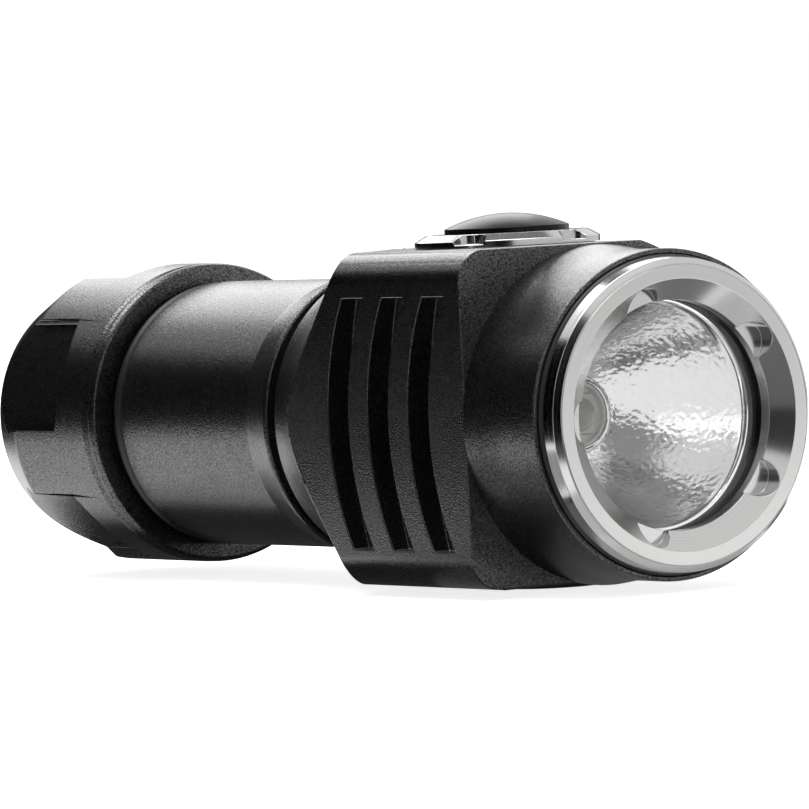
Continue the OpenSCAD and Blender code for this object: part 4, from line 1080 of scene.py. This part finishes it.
def makeCards(bottom):
    # a standing card has a foot line and a height, a lying one an outline and its lift above the table
    cards = {
        # every card glows at its tone and is seen only in reflections; the standing cards and ringCard are a
        # painted dark room
        "leftCard": {"tone": 0.0, "foot": [(-90, -58), (70, -58)], "height": 80},
        "endCard": {"tone": 0.0, "foot": [(-90, -58), (-90, 24)], "height": 74},
        "riseCard": {"tone": 0.0, "foot": [(106, -58), (150, -58)], "height": 140},
        # lowCard, sideCard, frontCard, underCard, noseCard and bevelCard are painted shade, the table darker
        # around and under the lamp; nearCard and headCard are painted light
        "lowCard": {"tone": 0.03, "outline": [(74, -15), (85, -18), (85, -57), (74, -57)], "lift": 0.3},
        "nearCard": {"tone": 0.75, "outline": [(83, -16), (95, -20), (95, 8), (83, 8)], "lift": 0.3},
        "bevelCard": {"tone": 0.25, "outline": [(80, 10), (95, 10), (95, 26), (80, 26)], "lift": 0.3},
        "sideCard": {"tone": 0.08, "outline": [(96, -20), (96, -57), (128, -57), (128, -36)], "lift": 0.6},
        "frontCard": {"tone": 0.2, "lift": 0.3, "outline": [
            (96, -200), (330, -400), (430, -100), (330, 90), (110, 11), (96, 8),
        ]},
        "cameraCard": {"tone": 0.04, "foot": [(430, -190), (150, -420)], "height": 175},
        "underCard": {"tone": 0.05, "lift": 0.01, "outline": [
            (-6, -9), (40, -9), (46, -17), (63, -17), (63, 30), (-6, 30),
        ]},
        "noseCard": {"tone": 0.16, "outline": [(63, -17), (77, -17), (77, 30), (63, 30)], "lift": 0.01},
        "headCard": {"tone": 0.45, "outline": [(46, -17), (46, -45), (72, -45), (72, -17)], "lift": 0.01},
        "ringCard": {"tone": 0.15, "outline": [(-65, 5), (30, 5), (30, 95), (-65, 95)], "lift": 165},
        "backCard": {"tone": 0.03, "foot": [(-370, 80), (-180, 365)], "height": 95},
    }
    for name, card in cards.items():
        if "foot" in card:
            start, end = card["foot"]
            corners = [(*start, 0), (*end, 0), (*end, card["height"]), (*start, card["height"])]
        else:
            corners = [(*point, card["lift"]) for point in card["outline"]]
        # the card only glows at its tone and is hidden from the camera, from diffuse light and from shadows:
        # a painted reflection
        paintedReflection, tree = newMaterial(name + "PaintedReflection")[:2]
        plain = addNode(tree, "ShaderNodeEmission", inputs={"Strength": card["tone"]})
        setSurface(tree, plain.outputs["Emission"])
        mesh = bpy.data.meshes.new(name)
        mesh.from_pydata([Vector((x, y, z + bottom)) * mm for x, y, z in corners], [], [range(len(corners))])
        sheet = newObject(name, mesh, paintedReflection)
        sheet.visible_camera = sheet.visible_diffuse = sheet.visible_shadow = False


def makeRoom():
    room = {"ambient": 0.4, "backdrop": 1.0}
    world = bpy.data.worlds.new("studio")
    bpy.context.scene.world = world
    world.use_nodes = True
    tree = world.node_tree
    tree.nodes.clear()
    path = addNode(tree, "ShaderNodeLightPath").outputs
    mirror = addNode(tree, "ShaderNodeMath", {"operation": "MAXIMUM"}, {
        0: path["Is Glossy Ray"], 1: path["Is Transmission Ray"],
    })
    seen = addNode(tree, "ShaderNodeMath", {"operation": "MAXIMUM"}, {
        0: path["Is Camera Ray"], 1: mirror.outputs["Value"],
    })
    ambient, backdrop = (addNode(tree, "ShaderNodeBackground", inputs={
        "Color": hexColour("#ffffff"), "Strength": room[light],
    }) for light in ("ambient", "backdrop"))
    mixed = addNode(tree, "ShaderNodeMixShader", inputs={
        0: seen.outputs["Value"], 1: ambient.outputs["Background"], 2: backdrop.outputs["Background"],
    })
    addNode(tree, "ShaderNodeOutputWorld", inputs={"Surface": mixed.outputs["Shader"]})


def aimed(view):
    # the turn of a lamp or camera that looks from its place at its aim
    return (Vector(view["aim"]) - Vector(view["at"])).to_track_quat("-Z", "Y")


def makeLights():
    lights = {
        "backBox": {"at": (-500, 210, 330), "aim": (40, 0, 0), "size": (420, 320), "watts": 0.8},
        "tableBox": {"at": (-60, -40, 520), "aim": (0, -20, 0), "size": (480, 480), "watts": 3.8},
    }
    for name, light in lights.items():
        data = bpy.data.lights.new(name, "AREA")
        data.shape = "RECTANGLE"
        data.size, data.size_y = (v * mm for v in light["size"])
        data.energy = light["watts"]
        lamp = newObject(name, data)
        lamp.location = Vector(light["at"]) * mm
        lamp.rotation_euler = aimed(light).to_euler()
        lamp.visible_camera = False


def makeCamera():
    view = {"at": (511.51, -309.24, 21.19), "aim": (40.28, 2.76, 0.50), "roll": -2.935, "lens": 323.3,
            "sensor": 36.0, "clip": (10.0, 20000.0)}
    data = bpy.data.cameras.new("camera")
    data.sensor_width = view["sensor"]
    data.lens = view["lens"]
    data.clip_start, data.clip_end = (v * mm for v in view["clip"])
    camera = newObject("camera", data)
    turn = aimed(view).to_matrix() @ Euler((0, 0, radians(view["roll"]))).to_matrix()
    camera.matrix_world = Matrix.Translation(Vector(view["at"]) * mm) @ turn.to_4x4()
    bpy.context.scene.camera = camera


tableGap = 0.02  # between the part's lowest point and the table
tableTop = cadBox[0].z / mm - tableGap
makeTable(tableTop)
makeCards(tableTop)
makeRoom()
makeLights()
makeCamera()
bpy.context.scene.view_settings.view_transform = "Standard"
print("stage, lights and camera made")
